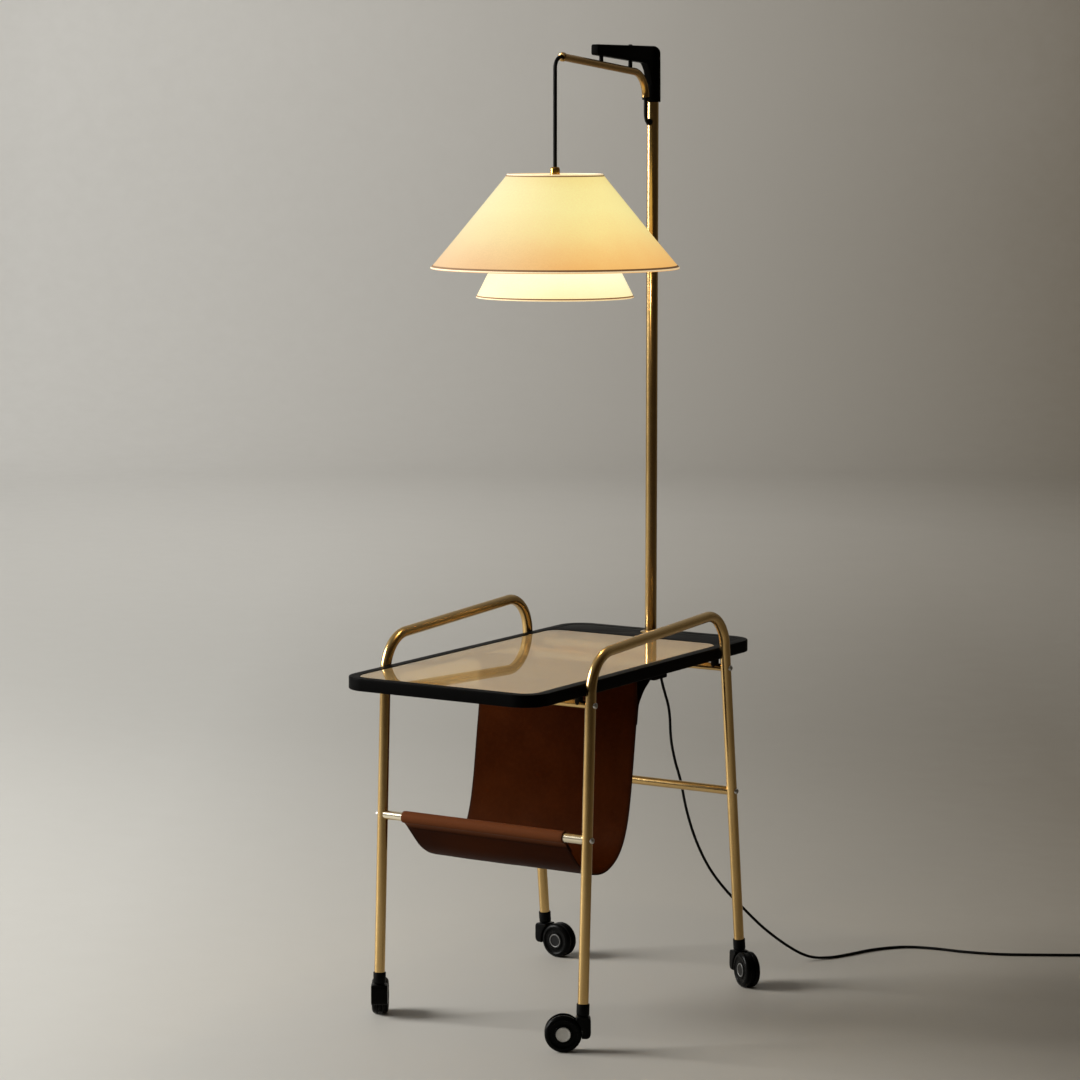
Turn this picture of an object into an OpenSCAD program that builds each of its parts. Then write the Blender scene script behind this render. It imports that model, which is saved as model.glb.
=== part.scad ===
// Floor lamp with a side table on casters: two bent tube side frames, a framed
// glass top, a leather magazine sling and a pole with a two-tier fabric shade.
// Front is -Y, rear (pole side) is +Y, the floor is z = 0.

/* [Overall] */
// Height of the table surface above the floor
table_h = 555.5; // [525.5:1:585.5]
// Height of the top of the lamp's bracket above the floor
lamp_h = 1506.5; // [1455.5:1:1565.5]

/* [Table top] */
// Width of the table top
top_w = 350; // [330:1:350]
// Length of the table top
top_l = 682; // [660:1:700]
// Depth of the table top's edge
top_t = 19; // [16:0.5:24]
// Corner radius of the table top
top_r = 42; // [35:1:60]
// Width of the frame at the front and sides
band_w = 17.5; // [15:0.5:25]
// Width of the panel behind the glass, which carries the pole
rear_w = 93; // [80:1:110]
// Thickness of the glass
glass_t = 5.5; // [4:0.5:6]

/* [Side frames] */
// Outside diameter of the frame tube
tube_d = 16.5; // [16:0.5:18]
// Wall thickness of the frame tube
tube_wall = 1.5; // [1:0.1:2]
// Distance between the two side frames, centre to centre
frame_gap = 370; // [370:1:390]
// Bend radius of the tube at its centreline
bend_r = 58; // [45:1:65]
// Height of the handle's centreline above the table surface at the front
handle_h = 41; // [36:1:60]

/* [Stretchers] */
// Diameter of the lower bars
bar_d = 14; // [12:0.5:15]
// Diameter of the rails under the table top
rail_d = 12; // [10:0.5:12]
// Height of the lower bars
bar_z = 320.5; // [310.5:1:330.5]

/* [Sling] */
// Width of the leather sling
sling_w = 290; // [260:1:300]
// Thickness of the leather
leather_t = 2.4; // [2:0.1:2.6]

/* [Pole and head] */
// Outside diameter of the pole
pole_d = 19; // [18:0.5:20]
// Distance of the pole from the middle of the table
pole_y = 300; // [298:1:302]
// Diameter of the curved cord tube
cord_tube_d = 12; // [11:0.5:12]
// Width of the bracket's arm
arm_w = 14.3; // [12:0.1:16]

/* [Shade] */
// Diameter of the outer shade at its lower rim
shade_d = 385; // [360:1:390]
// Diameter of the outer shade at its top
shade_top_d = 147; // [140:1:170]
// Height of the outer shade
shade_h = 144; // [140:1:150]
// Diameter of the inner shade at its lower rim
inner_d = 244; // [230:1:250]
// Diameter of the inner shade at its top
inner_top_d = 144; // [140:1:150]
// Thickness of the fabric and its lining
shade_t = 1.6; // [1.2:0.1:2]

/* [Cords] */
// Diameter of the cord that carries the shade
pendant_d = 6; // [5:0.5:6]
// Diameter of the mains cord
mains_d = 4.6; // [4.4:0.1:4.8]
// Diameter of the short cord from the curved tube to the pole
link_d = 6; // [5:0.5:6]

/* [Casters] */
// Diameter of a caster wheel
wheel_d = 56.5; // [53.5:0.5:56.5]
// Distance from the swivel axis to the wheel's axle
trail = 29.5; // [29:0.5:31]
// Width over the two wheels of a caster
caster_w = 25.6; // [24:0.2:28]

/* [Hidden] */
$fn = 64;

brass = [0.72, 0.56, 0.29];
black = [0.05, 0.05, 0.05];
steel = [0.7, 0.7, 0.68];

// ---- derived heights and positions ----
T = table_h;
fx = frame_gap / 2;
front_slope = 0.0442;
rear_slope = 0.111;
front_y0 = -198;
rear_y0 = 215.4;
handle_slope = 0.046;
function leg_f(z) = front_y0 - front_slope * (T - z);
function leg_r(z) = rear_y0 + rear_slope * (T - z);
leg_end = 59;
ferrule_top = 73;
ferrule_bot = 55;
rail_z = T - top_t - 13;
// the handle's line crosses each leg's line here
hf_y = (front_y0 + front_slope * handle_h) ;
hf_z = T + handle_h;
hr_z = T + handle_h + handle_slope * (rear_y0 - front_y0) - 0.3;
hr_y = leg_r(hr_z);
frame_pts = [
  [leg_f(leg_end), leg_end], [hf_y, hf_z], [hr_y, hr_z], [leg_r(leg_end), leg_end]
];
// caster positions: x, y and the direction in which the wheels trail
sw_f = leg_f(ferrule_bot);
sw_r = leg_r(ferrule_bot);
wr = wheel_d / 2;

// direction from the pole to the cord's outlet
out_a = 37;
out_dir = [cos(out_a), sin(out_a)];
// the mains cord's route, from the strain relief to the start of the coil
mains_pts = [
  [15.2, 311.4, 516.5], [13.2, 310, 505.5], [12.9, 309.7, 493.5], [14, 310.5, 480.5],
  [16.4, 312.3, 466.5], [20, 315, 450.5], [23.8, 317.8, 432.5], [25.8, 319.4, 412.5],
  [26.6, 320, 390.5], [28.6, 321.4, 367.5], [33.4, 325.2, 338.5], [40.4, 330.6, 307.5],
  [48.6, 336.8, 257.5], [60.6, 346.2, 208.5], [78, 359.2, 162.5], [99, 375.2, 125.5],
  [126, 394.4, 90], [154, 415.6, 55.4], [188, 441.6, 22.9], [214, 463, 6.2],
  [238, 489, 2.4], [256, 527, 2.4], [276, 578, 2.4], [310, 620, 2.4],
  [356, 637, 2.4], [412, 643, 2.4], [470, 659, 2.4], [528, 690, 2.4],
  [586, 724, 2.4], [627.6, 748.7, 2.4]
];
coil_c = [610, 778];
coil_r_in = 23.1;
coil_r_out = 36.9;
plug_p = [560, 858];
plug_a = 128;

// the sling's middle line in the (y, z) plane, from the front seam to the loop
sling_pts = [
  [-209, 312.4], [-203.4, 308.9], [-195, 299.5], [-181, 284.5], [-165, 269], [-148, 257.5],
  [-128, 249], [-104, 244.5], [-82, 246], [-62, 253.5], [-46, 265],
  [-33.5, 280.5], [-24, 300.5], [-16.5, 325.5], [-10, 357.5], [-4.5, 395.5],
  [0.5, 430.5], [5, 460.5], [8, 485.5]
];

// ---- vector helpers ----
function unit(v) = v / norm(v);
function cross2(a, b) = a[0] * b[1] - a[1] * b[0];
function ang(v) = atan2(v[1], v[0]);
function defl(a, b, c) = acos(max(-1, min(1, unit(b - a) * unit(c - b))));
function tlen(a, b, c, R) = R * tan(defl(a, b, c) / 2);

// Things drawn in the XY plane are stood up in the YZ plane: X to Y, Y to Z.
module in_yz() { rotate(a = 120, v = [1, 1, 1]) children(); }

// A straight round bar from p to q in the drawing plane
module seg(p, q, r) {
  translate([p[0], p[1], 0]) rotate([0, 0, ang(q - p)]) rotate([0, 90, 0])
    cylinder(r = r, h = norm(q - p));
}

// A round bar along a list of points, bent to radius R at each inner point
module bent(pts, R, r) {
  n = len(pts);
  for (i = [0 : n - 2]) {
    d = unit(pts[i + 1] - pts[i]);
    t0 = i == 0 ? 0 : tlen(pts[i - 1], pts[i], pts[i + 1], R);
    t1 = i == n - 2 ? 0 : tlen(pts[i], pts[i + 1], pts[i + 2], R);
    seg(pts[i] + d * t0, pts[i + 1] - d * t1, r);
  }
  for (i = [1 : n - 2]) {
    a = pts[i - 1]; b = pts[i]; c = pts[i + 1];
    d1 = unit(b - a); d2 = unit(c - b);
    w = defl(a, b, c);
    m = b + unit(d2 - d1) * R / cos(w / 2);
    s = cross2(d1, d2) > 0 ? b - d1 * tlen(a, b, c, R) : b + d2 * tlen(a, b, c, R);
    translate([m[0], m[1], 0]) rotate([0, 0, ang(s - m)])
      rotate_extrude(angle = w) translate([R, 0]) circle(r);
  }
}

// A rectangle with round corners
module rrect(w, l, r) {
  square([w - 2 * r, l], center = true);
  square([w, l - 2 * r], center = true);
  for (x = [-1, 1], y = [-1, 1])
    translate([x * (w / 2 - r), y * (l / 2 - r)]) circle(r);
}

// A tube swept through points in space, as one closed polyhedron
function cr(p0, p1, p2, p3, t) =
  0.5 * ((2 * p1) + (p2 - p0) * t + (2 * p0 - 5 * p1 + 4 * p2 - p3) * t * t
  + (3 * p1 - p0 - 3 * p2 + p3) * t * t * t);
function smooth(p, k) = concat(
  [for (i = [0 : len(p) - 2], j = [0 : k - 1])
    cr(p[max(i - 1, 0)], p[i], p[i + 1], p[min(i + 2, len(p) - 1)], j / k)],
  [p[len(p) - 1]]);
function frames(p, i, u) = i >= len(p) ? [] :
  let (
    d = unit(p[min(i + 1, len(p) - 1)] - p[max(i - 1, 0)]),
    v = unit(u - d * (u * d))
  ) concat([[d, v]], frames(p, i + 1, v));
module sweep(p, r, n, u0) {
  f = frames(p, 0, u0);
  m = len(p);
  pts = [for (i = [0 : m - 1], k = [0 : n - 1])
    let (a = 360 * k / n, v = f[i][1], w = cross(f[i][0], f[i][1]))
      p[i] + r * (cos(a) * v + sin(a) * w)];
  polyhedron(points = pts, faces = concat(
    [[for (k = [0 : n - 1]) k]],
    [[for (k = [0 : n - 1]) (m - 1) * n + n - 1 - k]],
    [for (i = [0 : m - 2], k = [0 : n - 1])
      [i * n + k, (i + 1) * n + k, (i + 1) * n + (k + 1) % n, i * n + (k + 1) % n]]
  ));
}

// The middle line of a bent bar as points, with k steps in each bend
function bend_path(pts, R, k) = [
  for (i = [0 : len(pts) - 1]) each
    (i == 0 || i == len(pts) - 1) ? [pts[i]] :
      let (
        a = pts[i - 1], b = pts[i], c = pts[i + 1],
        d1 = unit(b - a), d2 = unit(c - b), w = defl(a, b, c), t = R * tan(w / 2),
        m = b + unit(d2 - d1) * R / cos(w / 2), s = b - d1 * t - m,
        g = cross2(d1, d2) > 0 ? 1 : -1
      ) [for (q = [0 : k]) let (e = g * w * q / k)
          m + [s[0] * cos(e) - s[1] * sin(e), s[0] * sin(e) + s[1] * cos(e)]]
];
// A tube along a flat path, open at both ends, as one closed polyhedron
module bent_pipe(path, ro, ri, n) {
  m = len(path);
  pts = [for (r = [ro, ri], i = [0 : m - 1])
    let (
      a = unit(path[i] - path[max(i - 1, 0)] + (i == 0 ? path[1] - path[0] : [0, 0])),
      b = unit(path[min(i + 1, m - 1)] - path[i] + (i == m - 1 ? path[i] - path[i - 1] : [0, 0])),
      d = unit(a + b), u = [-d[1], d[0]], f = 1 / (d * a)
    ) for (k = [0 : n - 1])
      let (t = 360 * k / n) [path[i][0] + u[0] * r * f * cos(t), path[i][1] + u[1] * r * f * cos(t), r * sin(t)]];
  o = m * n;
  polyhedron(points = pts, faces = concat(
    [for (i = [0 : m - 2], k = [0 : n - 1]) let (l = (k + 1) % n)
      [i * n + k, (i + 1) * n + k, (i + 1) * n + l, i * n + l]],
    [for (i = [0 : m - 2], k = [0 : n - 1]) let (l = (k + 1) % n)
      [o + i * n + l, o + (i + 1) * n + l, o + (i + 1) * n + k, o + i * n + k]],
    [for (k = [0 : n - 1]) let (l = (k + 1) % n) [k, l, o + l, o + k]],
    [for (k = [0 : n - 1]) let (l = (k + 1) % n, e = (m - 1) * n) [e + l, e + k, o + e + k, o + e + l]]
  ));
}

// ---- side frames ----
module frame_holes(side) {
  for (p = [[leg_f(rail_z), rail_z], [leg_r(rail_z), rail_z],
            [leg_f(bar_z), bar_z], [leg_r(bar_z), bar_z]])
    translate([side * fx, p[0], p[1]]) rotate([0, 90, 0])
      cylinder(d = 5.2, h = 40, center = true);
}
module side_frame(side) {
  color(brass) difference() {
    translate([side * fx, 0, 0]) in_yz()
      bent_pipe(bend_path(frame_pts, bend_r, 12), tube_d / 2, tube_d / 2 - tube_wall, 24);
    frame_holes(side);
  }
}
module left_side_frame() { side_frame(-1); }
module right_side_frame() { side_frame(1); }

// A cross bar between the frames, its ends shaped to the tubes
module leg_line(side, rear) {
  y = rear ? leg_r(T) : leg_f(T);
  y2 = rear ? leg_r(0) : leg_f(0);
  translate([side * fx, 0, 0]) in_yz() seg([y2, 0], [y, T], tube_d / 2 + 0.05);
}
module cross_bar(y, z, d, rear) {
  difference() {
    translate([0, y, z]) rotate([0, 90, 0])
      cylinder(d = d, h = frame_gap, center = true);
    for (s = [-1, 1]) {
      leg_line(s, rear);
      translate([s * (fx - 24), y, z]) rotate([0, 90, 0])
        cylinder(d = 5, h = 40, center = true);
    }
  }
}
module front_sling_bar() { color(brass) cross_bar(leg_f(bar_z), bar_z, bar_d, false); }
module rear_stretcher() { color(brass) cross_bar(leg_r(bar_z), bar_z, bar_d, true); }
module front_top_rail() { color(brass) cross_bar(leg_f(rail_z), rail_z, rail_d, false); }
module rear_top_rail() { color(brass) cross_bar(leg_r(rail_z), rail_z, rail_d, true); }

// Button-head screws through the tubes into the bars
module frame_screws() {
  color(steel)
    for (s = [-1, 1], p = [[leg_f(rail_z), rail_z], [leg_r(rail_z), rail_z],
                           [leg_f(bar_z), bar_z], [leg_r(bar_z), bar_z]])
      translate([s * (fx + tube_d / 2 + 0.1), p[0], p[1]]) rotate([0, s * 90, 0]) {
        difference() {
          rotate_extrude() polygon([[0, 0], [4.6, 0], [4.6, 0.8], [4.1, 2.2],
                                    [2.8, 3.1], [0, 3.4]]);
          translate([0, 0, 1.6]) cylinder(d = 3, h = 3, $fn = 6);
        }
        translate([0, 0, -34]) cylinder(d = 4.8, h = 34);
      }
}

// ---- table top ----
in_w = top_w - 2 * band_w;
in_y0 = -top_l / 2 + band_w;
in_y1 = top_l / 2 - rear_w;
in_l = in_y1 - in_y0;
in_cy = (in_y0 + in_y1) / 2;
lip = 8;
seat_z = T - 0.5 - glass_t - 0.5;
hanger_y = [10, 53];
module tabletop_frame() {
  color(black) difference() {
    translate([0, 0, T - top_t]) linear_extrude(top_t) rrect(top_w, top_l, top_r);
    // opening above the glass seat
    translate([0, in_cy, seat_z]) linear_extrude(20)
      rrect(in_w, in_l, top_r - band_w);
    // opening through the lip
    translate([0, in_cy, T - top_t - 1]) linear_extrude(top_t + 2)
      rrect(in_w - 2 * lip, in_l - 2 * lip, top_r - band_w - lip);
    // hollow below the lip
    translate([0, in_cy, T - top_t - 1]) linear_extrude(seat_z - 3 - (T - top_t) + 1)
      rrect(in_w, in_l, top_r - band_w);
    // hollow below the rear panel
    translate([0, in_y1 + 4 + (rear_w - band_w - 4) / 2, T - top_t - 1])
      linear_extrude(top_t - 4 + 1) rrect(in_w, rear_w - band_w - 4, 12);
    // hole for the pole's socket
    translate([0, pole_y, T - 10]) cylinder(d = 24.2, h = 20);
    // screw holes in the underside
    for (p = top_screw_p)
      translate([p[0], p[1], T - top_t - 1]) cylinder(d = 4.2, h = 11);
  }
}
top_screw_p = [for (x = [-1, 1]) each [
  [x * 165, leg_f(rail_z)], [x * 165, leg_r(rail_z)], [x * 165, 31.5]]];
module tabletop_glass() {
  color([0.72, 0.62, 0.45, 0.5]) translate([0, in_cy, seat_z + 0.5])
    linear_extrude(glass_t) rrect(in_w - 0.8, in_l - 0.8, top_r - band_w - 0.4);
}
module glass_gasket() {
  color(black) translate([0, in_cy, seat_z]) linear_extrude(0.5) difference() {
    rrect(in_w - 2, in_l - 2, top_r - band_w - 1);
    rrect(in_w - 2 * lip + 2, in_l - 2 * lip + 2, top_r - band_w - lip + 1);
  }
}
// Black pads that carry the top, pegged to it over the rails
module tabletop_spacers() {
  color(black) {
    for (x = [-1, 1], rear = [false, true]) {
      y = rear ? leg_r(rail_z) : leg_f(rail_z);
      difference() {
        union() {
          translate([x * 165, y, rail_z]) cylinder(d = 13, h = T - top_t - rail_z);
          translate([x * 165, y, rail_z]) cylinder(d = 4, h = T - top_t - rail_z + 8);
        }
        translate([0, y, rail_z]) rotate([0, 90, 0])
          cylinder(d = rail_d + 0.04, h = frame_gap, center = true);
      }
    }
  }
}
hanger_z = T - top_t - 6.05;
module sling_hanger_bar() {
  color(black) difference() {
    union() {
      translate([-172, hanger_y[0] + 3, hanger_z]) cube([344, hanger_y[1] - hanger_y[0] - 6, 6]);
      for (y = [hanger_y[0] + 3, hanger_y[1] - 3])
        translate([0, y, hanger_z + 3]) rotate([0, 90, 0]) cylinder(d = 6, h = 344, center = true);
    }
    for (x = [-1, 1]) translate([x * 165, 31.5, hanger_z - 1]) cylinder(d = 4.3, h = 10);
  }
}
// Countersunk screws from below, through the hanger bar into the top
module tabletop_screws() {
  color(steel) {
    for (x = [-1, 1]) translate([x * 165, 31.5, hanger_z]) {
      translate([0, 0, -2.4]) cylinder(d1 = 5, d2 = 7.6, h = 2.4);
      cylinder(d = 4, h = 15);
    }
  }
}

// ---- pole socket under the rear panel ----
module mast_socket() {
  color(brass) difference() {
    union() {
      translate([0, pole_y, T]) rotate_extrude()
        polygon([[9, 0], [17, 0], [17, 1.6], [15.6, 3], [9, 3]]);
      translate([0, pole_y, T - 64]) cylinder(d = 24, h = 65);
    }
    translate([0, pole_y, T - 70]) cylinder(d = pole_d + 0.14, h = 120);
    // side port towards the cord outlet
    translate([0, pole_y, T - 12.7]) rotate([0, 0, out_a]) rotate([0, 90, 0])
      cylinder(d = 6, h = 30);
  }
}
// Ring nut that clamps the socket's flange to the rear panel
module socket_nut() {
  color(black) translate([0, pole_y, T - 7.5]) difference() {
    union() {
      cylinder(d = 33, h = 3.5);
      for (a = [0 : 45 : 315]) rotate([0, 0, a + 22.5 + out_a]) translate([16, 0, 0]) cylinder(d = 3.4, h = 3.5);
    }
    translate([0, 0, -1]) cylinder(d = 24.1, h = 6);
  }
}
module socket_end_plug() {
  color(black) translate([0, pole_y, T - 64]) rotate_extrude()
    polygon([[0, -3], [8, -3], [11, -2], [11, 0], [9.4, 0], [9.4, 5], [0, 5]]);
}
// Small housing that leads the cord from the socket to its strain relief
relief_a = 21;
relief_o = [21.6, 316.2, T - 18];
relief_d = unit([-6.4, -4.8, -21]);
module cord_outlet() {
  color(black) difference() {
    translate([0, pole_y, T - 18]) rotate([0, 0, out_a])
      translate([12.1, -6.7, 0]) {
        union() {
          cube([15, 13.4, 10.4]);
          translate([15, 6.7, 0]) cylinder(d = 13.4, h = 10.4);
        }
      }
    translate([0, pole_y, T - 12.7]) rotate([0, 0, out_a]) rotate([0, 90, 0])
      cylinder(d = 6, h = 27);
    translate([0, pole_y, T - 30]) rotate([0, 0, out_a])
      translate([27, 0, 0]) cylinder(d = 6, h = 18);
  }
}
module along(o, d) {
  translate(o) rotate([0, 0, atan2(d[1], d[0])]) rotate([0, acos(d[2] / norm(d)), 0])
    children();
}
module cord_strain_relief() {
  color(black) difference() {
    along(relief_o, relief_d) union() {
      translate([0, 0, -1]) cylinder(d = 10, h = 4);
      translate([0, 0, 3]) cylinder(d1 = 8.6, d2 = 6.2, h = 19.6);
    }
    // its top lies flat against the outlet
    translate([0, pole_y, T - 18 - 0.01]) cube([80, 80, 20]);
    along(relief_o, relief_d) translate([0, 0, -2]) cylinder(d = mains_d + 0.1, h = 40);
  }
}

// ---- leather sling ----
function off(p, i, t) = let (
    a = p[max(i - 1, 0)], b = p[min(i + 1, len(p) - 1)], d = unit(b - a))
  p[i] + t * [-d[1], d[0]];
module leather_sling() {
  h = leather_t / 2;
  n = len(sling_pts);
  up = [for (i = [0 : n - 1]) off(sling_pts, i, h)];
  dn = [for (i = [n - 1 : -1 : 0]) off(sling_pts, i, -h)];
  yb = leg_f(bar_z);
  ro = bar_d / 2 + 0.3;
  color([0.27, 0.1, 0.06]) translate([-sling_w / 2, 0, 0]) in_yz() difference() {
    union() {
      linear_extrude(sling_w) polygon(concat(up, dn));
      // roll round the front bar
      translate([yb, bar_z, 0]) cylinder(r = ro + leather_t, h = sling_w);
      // loop round the hanger bar
      linear_extrude(sling_w)
        polygon([[8 - h, 483.5], [8 + h + 0.6, 483.5], [30, 511], [55.8, hanger_z - 1],
                 [55.8, hanger_z + 8.6], [6.2, hanger_z + 8.6]]);
    }
    translate([yb, bar_z, -1]) cylinder(r = ro, h = sling_w + 2);
    translate([0, 0, -1]) linear_extrude(sling_w + 2)
      polygon([[9.6, 491.5], [29.4, 513.4], [53.4, hanger_z + 0.1], [53.4, hanger_z + 6.2],
               [9, hanger_z + 6.2]]);
  }
}

// ---- pole and head ----
module pole() {
  color(brass) difference() {
    translate([0, pole_y, T - 58.9]) cylinder(d = pole_d, h = lamp_h - T + 58.9 - 12);
    translate([0, pole_y, T - 70]) cylinder(d = pole_d - 3, h = lamp_h);
    // slot that passes the cord while the pole turns
    translate([0, pole_y, T - 16]) rotate([0, 0, out_a - 100])
      rotate_extrude(angle = 200) translate([pole_d / 2 - 4, 0]) square([8, 8]);
    translate([0, pole_y, grommet_z]) rotate([90, 0, 0]) cylinder(d = 9.4, h = 20);
  }
}
grommet_z = lamp_h - 121;
module pole_wire() {
  color(black) translate([0, pole_y, T - 12]) cylinder(d = 4.6, h = grommet_z - T + 12);
}
module pole_grommet() {
  color(black) translate([0, pole_y, grommet_z]) rotate([90, 0, 0]) difference() {
    union() {
      translate([0, 0, pole_d / 2 - 3]) cylinder(d = 9.3, h = 4);
      difference() {
        translate([0, 0, pole_d / 2 - 2]) rotate_extrude()
          polygon([[0, 0], [5, 0], [5.4, 3.4], [5.3, 5.2], [4.9, 6.8], [4.4, 7.6], [0, 7.6]]);
        rotate([90, 0, 0]) cylinder(d = pole_d + 0.04, h = 30, center = true);
      }
    }
    translate([0, 0, 2]) cylinder(d = link_d + 0.6, h = 20);
    translate([0, 0, pole_d / 2 + 4.4]) cylinder(d1 = link_d + 0.5, d2 = link_d + 2.2, h = 1.3);
  }
}
arm_end = pole_y - 182;
module bracket_profile() {
  z1 = lamp_h;
  r = 14;
  difference() {
    polygon(concat(
      [[arm_end, z1 - 14], [arm_end + 1.6, z1 - 16.6], [arm_end + 152, z1 - 27.4],
       [pole_y - 25.5, z1 - 31], [pole_y - 19, z1 - 40], [pole_y - 12, z1 - 62], [pole_y - 2, z1 - 72],
       [pole_y + 9, z1 - 72]],
      [for (a = [0 : 10 : 90]) [pole_y + 9 - r + r * cos(a), z1 - r + r * sin(a)]],
      [[arm_end + 2.4, z1], [arm_end, z1 - 2.4]]));
  }
}
module head_bracket() {
  color(black) difference() {
    union() {
      translate([-arm_w / 2, 0, 0]) in_yz() linear_extrude(arm_w) bracket_profile();
      translate([0, pole_y, 0]) rotate_extrude()
        polygon(concat([[0, lamp_h - 89], [12.5, lamp_h - 89], [12, lamp_h - 11.5]],
          [for (a = [10 : 10 : 90]) [0.5 + 11.5 * cos(a), lamp_h - 11.5 + 11.5 * sin(a)]],
          [[0, lamp_h]]));
    }
    translate([0, pole_y, lamp_h - 95]) cylinder(d = pole_d + 0.06, h = 83.2);
    for (y = post_y) translate([0, y, lamp_h - 40]) cylinder(d = 4.1, h = 50);
    translate([0, pole_y + pole_d / 2 - 1, lamp_h - 75]) rotate([-90, 0, 0]) cylinder(d = 4.1, h = 8);
  }
}
post_y = [138, 228];
tube_p = [[22.5, lamp_h - 20.9], [277, lamp_h - 44.3], [277, lamp_h - 82]];
tube_bend = 36;
function tube_z(y) = tube_p[0][1] - (y - tube_p[0][0]) * 0.0919;
module bracket_posts() {
  color(black) for (y = post_y) {
    zt = lamp_h - 15 - (y - arm_end) * 0.0718;
    difference() {
      translate([0, y, tube_z(y)]) cylinder(d = 6.6, h = zt - tube_z(y));
      in_yz() bent(tube_p, tube_bend, cord_tube_d / 2 + 0.02);
      translate([-arm_w / 2, 0, 0]) in_yz() linear_extrude(arm_w) bracket_profile();
      translate([0, y, tube_z(y)]) cylinder(d = 4.1, h = 30);
    }
  }
}
module bracket_screws() {
  color(steel) {
    for (y = post_y) translate([0, y, 0]) {
      translate([0, 0, tube_z(y) + cord_tube_d / 2 + 0.3])
        cylinder(d = 4, h = lamp_h - tube_z(y) - cord_tube_d / 2 - 0.5);
    }
    // a low head on the one nearer the pole
    translate([0, post_y[1], lamp_h - 0.25]) cylinder(d = 4, h = 0.5);
    translate([0, post_y[1], lamp_h + 0.02]) rotate_extrude()
      polygon([[0, 0], [3.4, 0], [3.2, 0.7], [2.2, 1.4], [0, 1.6]]);
    // grub screw that clamps the bracket to the pole
    translate([0, pole_y + pole_d / 2 + 0.05, lamp_h - 75]) rotate([-90, 0, 0]) difference() {
      cylinder(d = 4, h = 3.4);
      translate([0, 0, 1.8]) cylinder(d = 2, h = 3, $fn = 6);
    }
  }
}
module cord_tube() {
  color(brass) in_yz()
    bent_pipe(bend_path(tube_p, tube_bend, 12), cord_tube_d / 2, cord_tube_d / 2 - 1.2, 24);
}
module tube_bushings() {
  color(black) {
    // collar at the mouth
    in_yz() translate([tube_p[0][0], tube_p[0][1], 0])
      rotate([0, 0, ang(tube_p[1] - tube_p[0])]) rotate([0, 90, 0]) rotate_extrude()
        polygon([[pendant_d / 2 + 0.1, -3], [6.4, -3], [7.1, -2.4], [7.1, 2.6], [cord_tube_d / 2 + 0.04, 2.6],
                 [cord_tube_d / 2 + 0.04, 0], [cord_tube_d / 2 - 1.3, 0], [cord_tube_d / 2 - 1.3, 8], [pendant_d / 2 + 0.1, 8]]);
    // plug in the lower end
    translate([0, tube_p[2][0], tube_p[2][1]]) rotate_extrude()
      polygon([[link_d / 2 + 0.2, -4], [4, -4], [5.4, -2.6], [5.8, 0], [cord_tube_d / 2 - 1.3, 0], [cord_tube_d / 2 - 1.3, 4.4],
               [link_d / 2 + 0.2, 4.4]]);
  }
}
link_pts = [
  [0, 277, lamp_h - 76], [0, 277, lamp_h - 86], [0, 277, lamp_h - 95], [0, 277.1, lamp_h - 103],
  [0, 277.3, lamp_h - 109], [0, 278.1, lamp_h - 114.4], [0, 280.2, lamp_h - 118.9],
  [0, 283.2, lamp_h - 120.8], [0, 286, lamp_h - 121], [0, 290, lamp_h - 121], [0, 297.4, lamp_h - 121]
];
module link_cord() {
  color(black) sweep(smooth(link_pts, 3), link_d / 2, 12, [1, 0, 0]);
}

// ---- pendant ----
piv = [0, lamp_h - 39];
bend_c = [18.4, lamp_h - 39];
module pendant_cord_top() {
  color(black) sweep(concat(
    [[0, 30, lamp_h - 21.5], [0, 24, lamp_h - 21]],
    [for (a = [88 : 11 : 176]) [0, bend_c[0] + 18.4 * cos(a), bend_c[1] + 18.4 * sin(a)]]),
    pendant_d / 2, 12, [1, 0, 0]);
}
pend_top = lamp_h - 40.4;
cap_z = lamp_h - 189;
module pendant_cord() {
  color(black) {
    translate([0, 0, cap_z - 6]) cylinder(d = pendant_d, h = pend_top - cap_z + 6);
  }
}
shade_top = lamp_h - 200;
module cord_grip() {
  color(brass) translate([0, 0, cap_z]) rotate_extrude()
    polygon([[pendant_d / 2 + 0.05, 0], [5.6, 0], [7.4, -2], [7.4, -11.8], [8.8, -12],
             [8.8, -13.6], [4, -13.6], [4, -7.4], [pendant_d / 2 + 0.05, -7.4]]);
}
lh_top = shade_top - 4;
module lampholder() {
  color(black) difference() {
    translate([0, 0, lh_top]) rotate_extrude()
      polygon([[0, 7.4], [3.9, 7.4], [3.9, 1.2], [5, 1.2], [5, -1.5], [11.6, -1.5], [18, -8], [20, -15], [20, -44],
               [17, -46], [17, -84], [14.6, -84], [14.6, -60], [0, -60]]);
    translate([0, 0, lh_top - 34]) rotate([0, 90, 0]) cylinder(d = 5.1, h = 60, center = true);
  }
}
module lampholder_ring() {
  color(black) translate([0, 0, lh_top - 74]) difference() {
    cylinder(d = 40, h = 7);
    translate([0, 0, -1]) cylinder(d = 34.1, h = 10);
  }
}
module switch_bar() {
  color([0.85, 0.82, 0.75]) translate([0, 0, lh_top - 34]) rotate([0, 90, 0]) union() {
    cylinder(d = 5, h = 52, center = true);
    for (s = [-1, 1]) translate([0, 0, s * 26]) sphere(d = 5);
  }
}
bulb_z = lh_top - 128;
module bulb_glass() {
  color([1, 0.95, 0.8, 0.8]) translate([0, 0, bulb_z]) rotate_extrude()
    polygon(concat(
      [for (a = [-90 : 10 : 60]) [27.5 * cos(a), 27.5 * sin(a)]], [[12.6, 29], [12.2, 41]],
      [[11, 41], [11.4, 28.5]], [for (a = [60 : -10 : -90]) [26.2 * cos(a), 26.2 * sin(a)]]));
}
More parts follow.
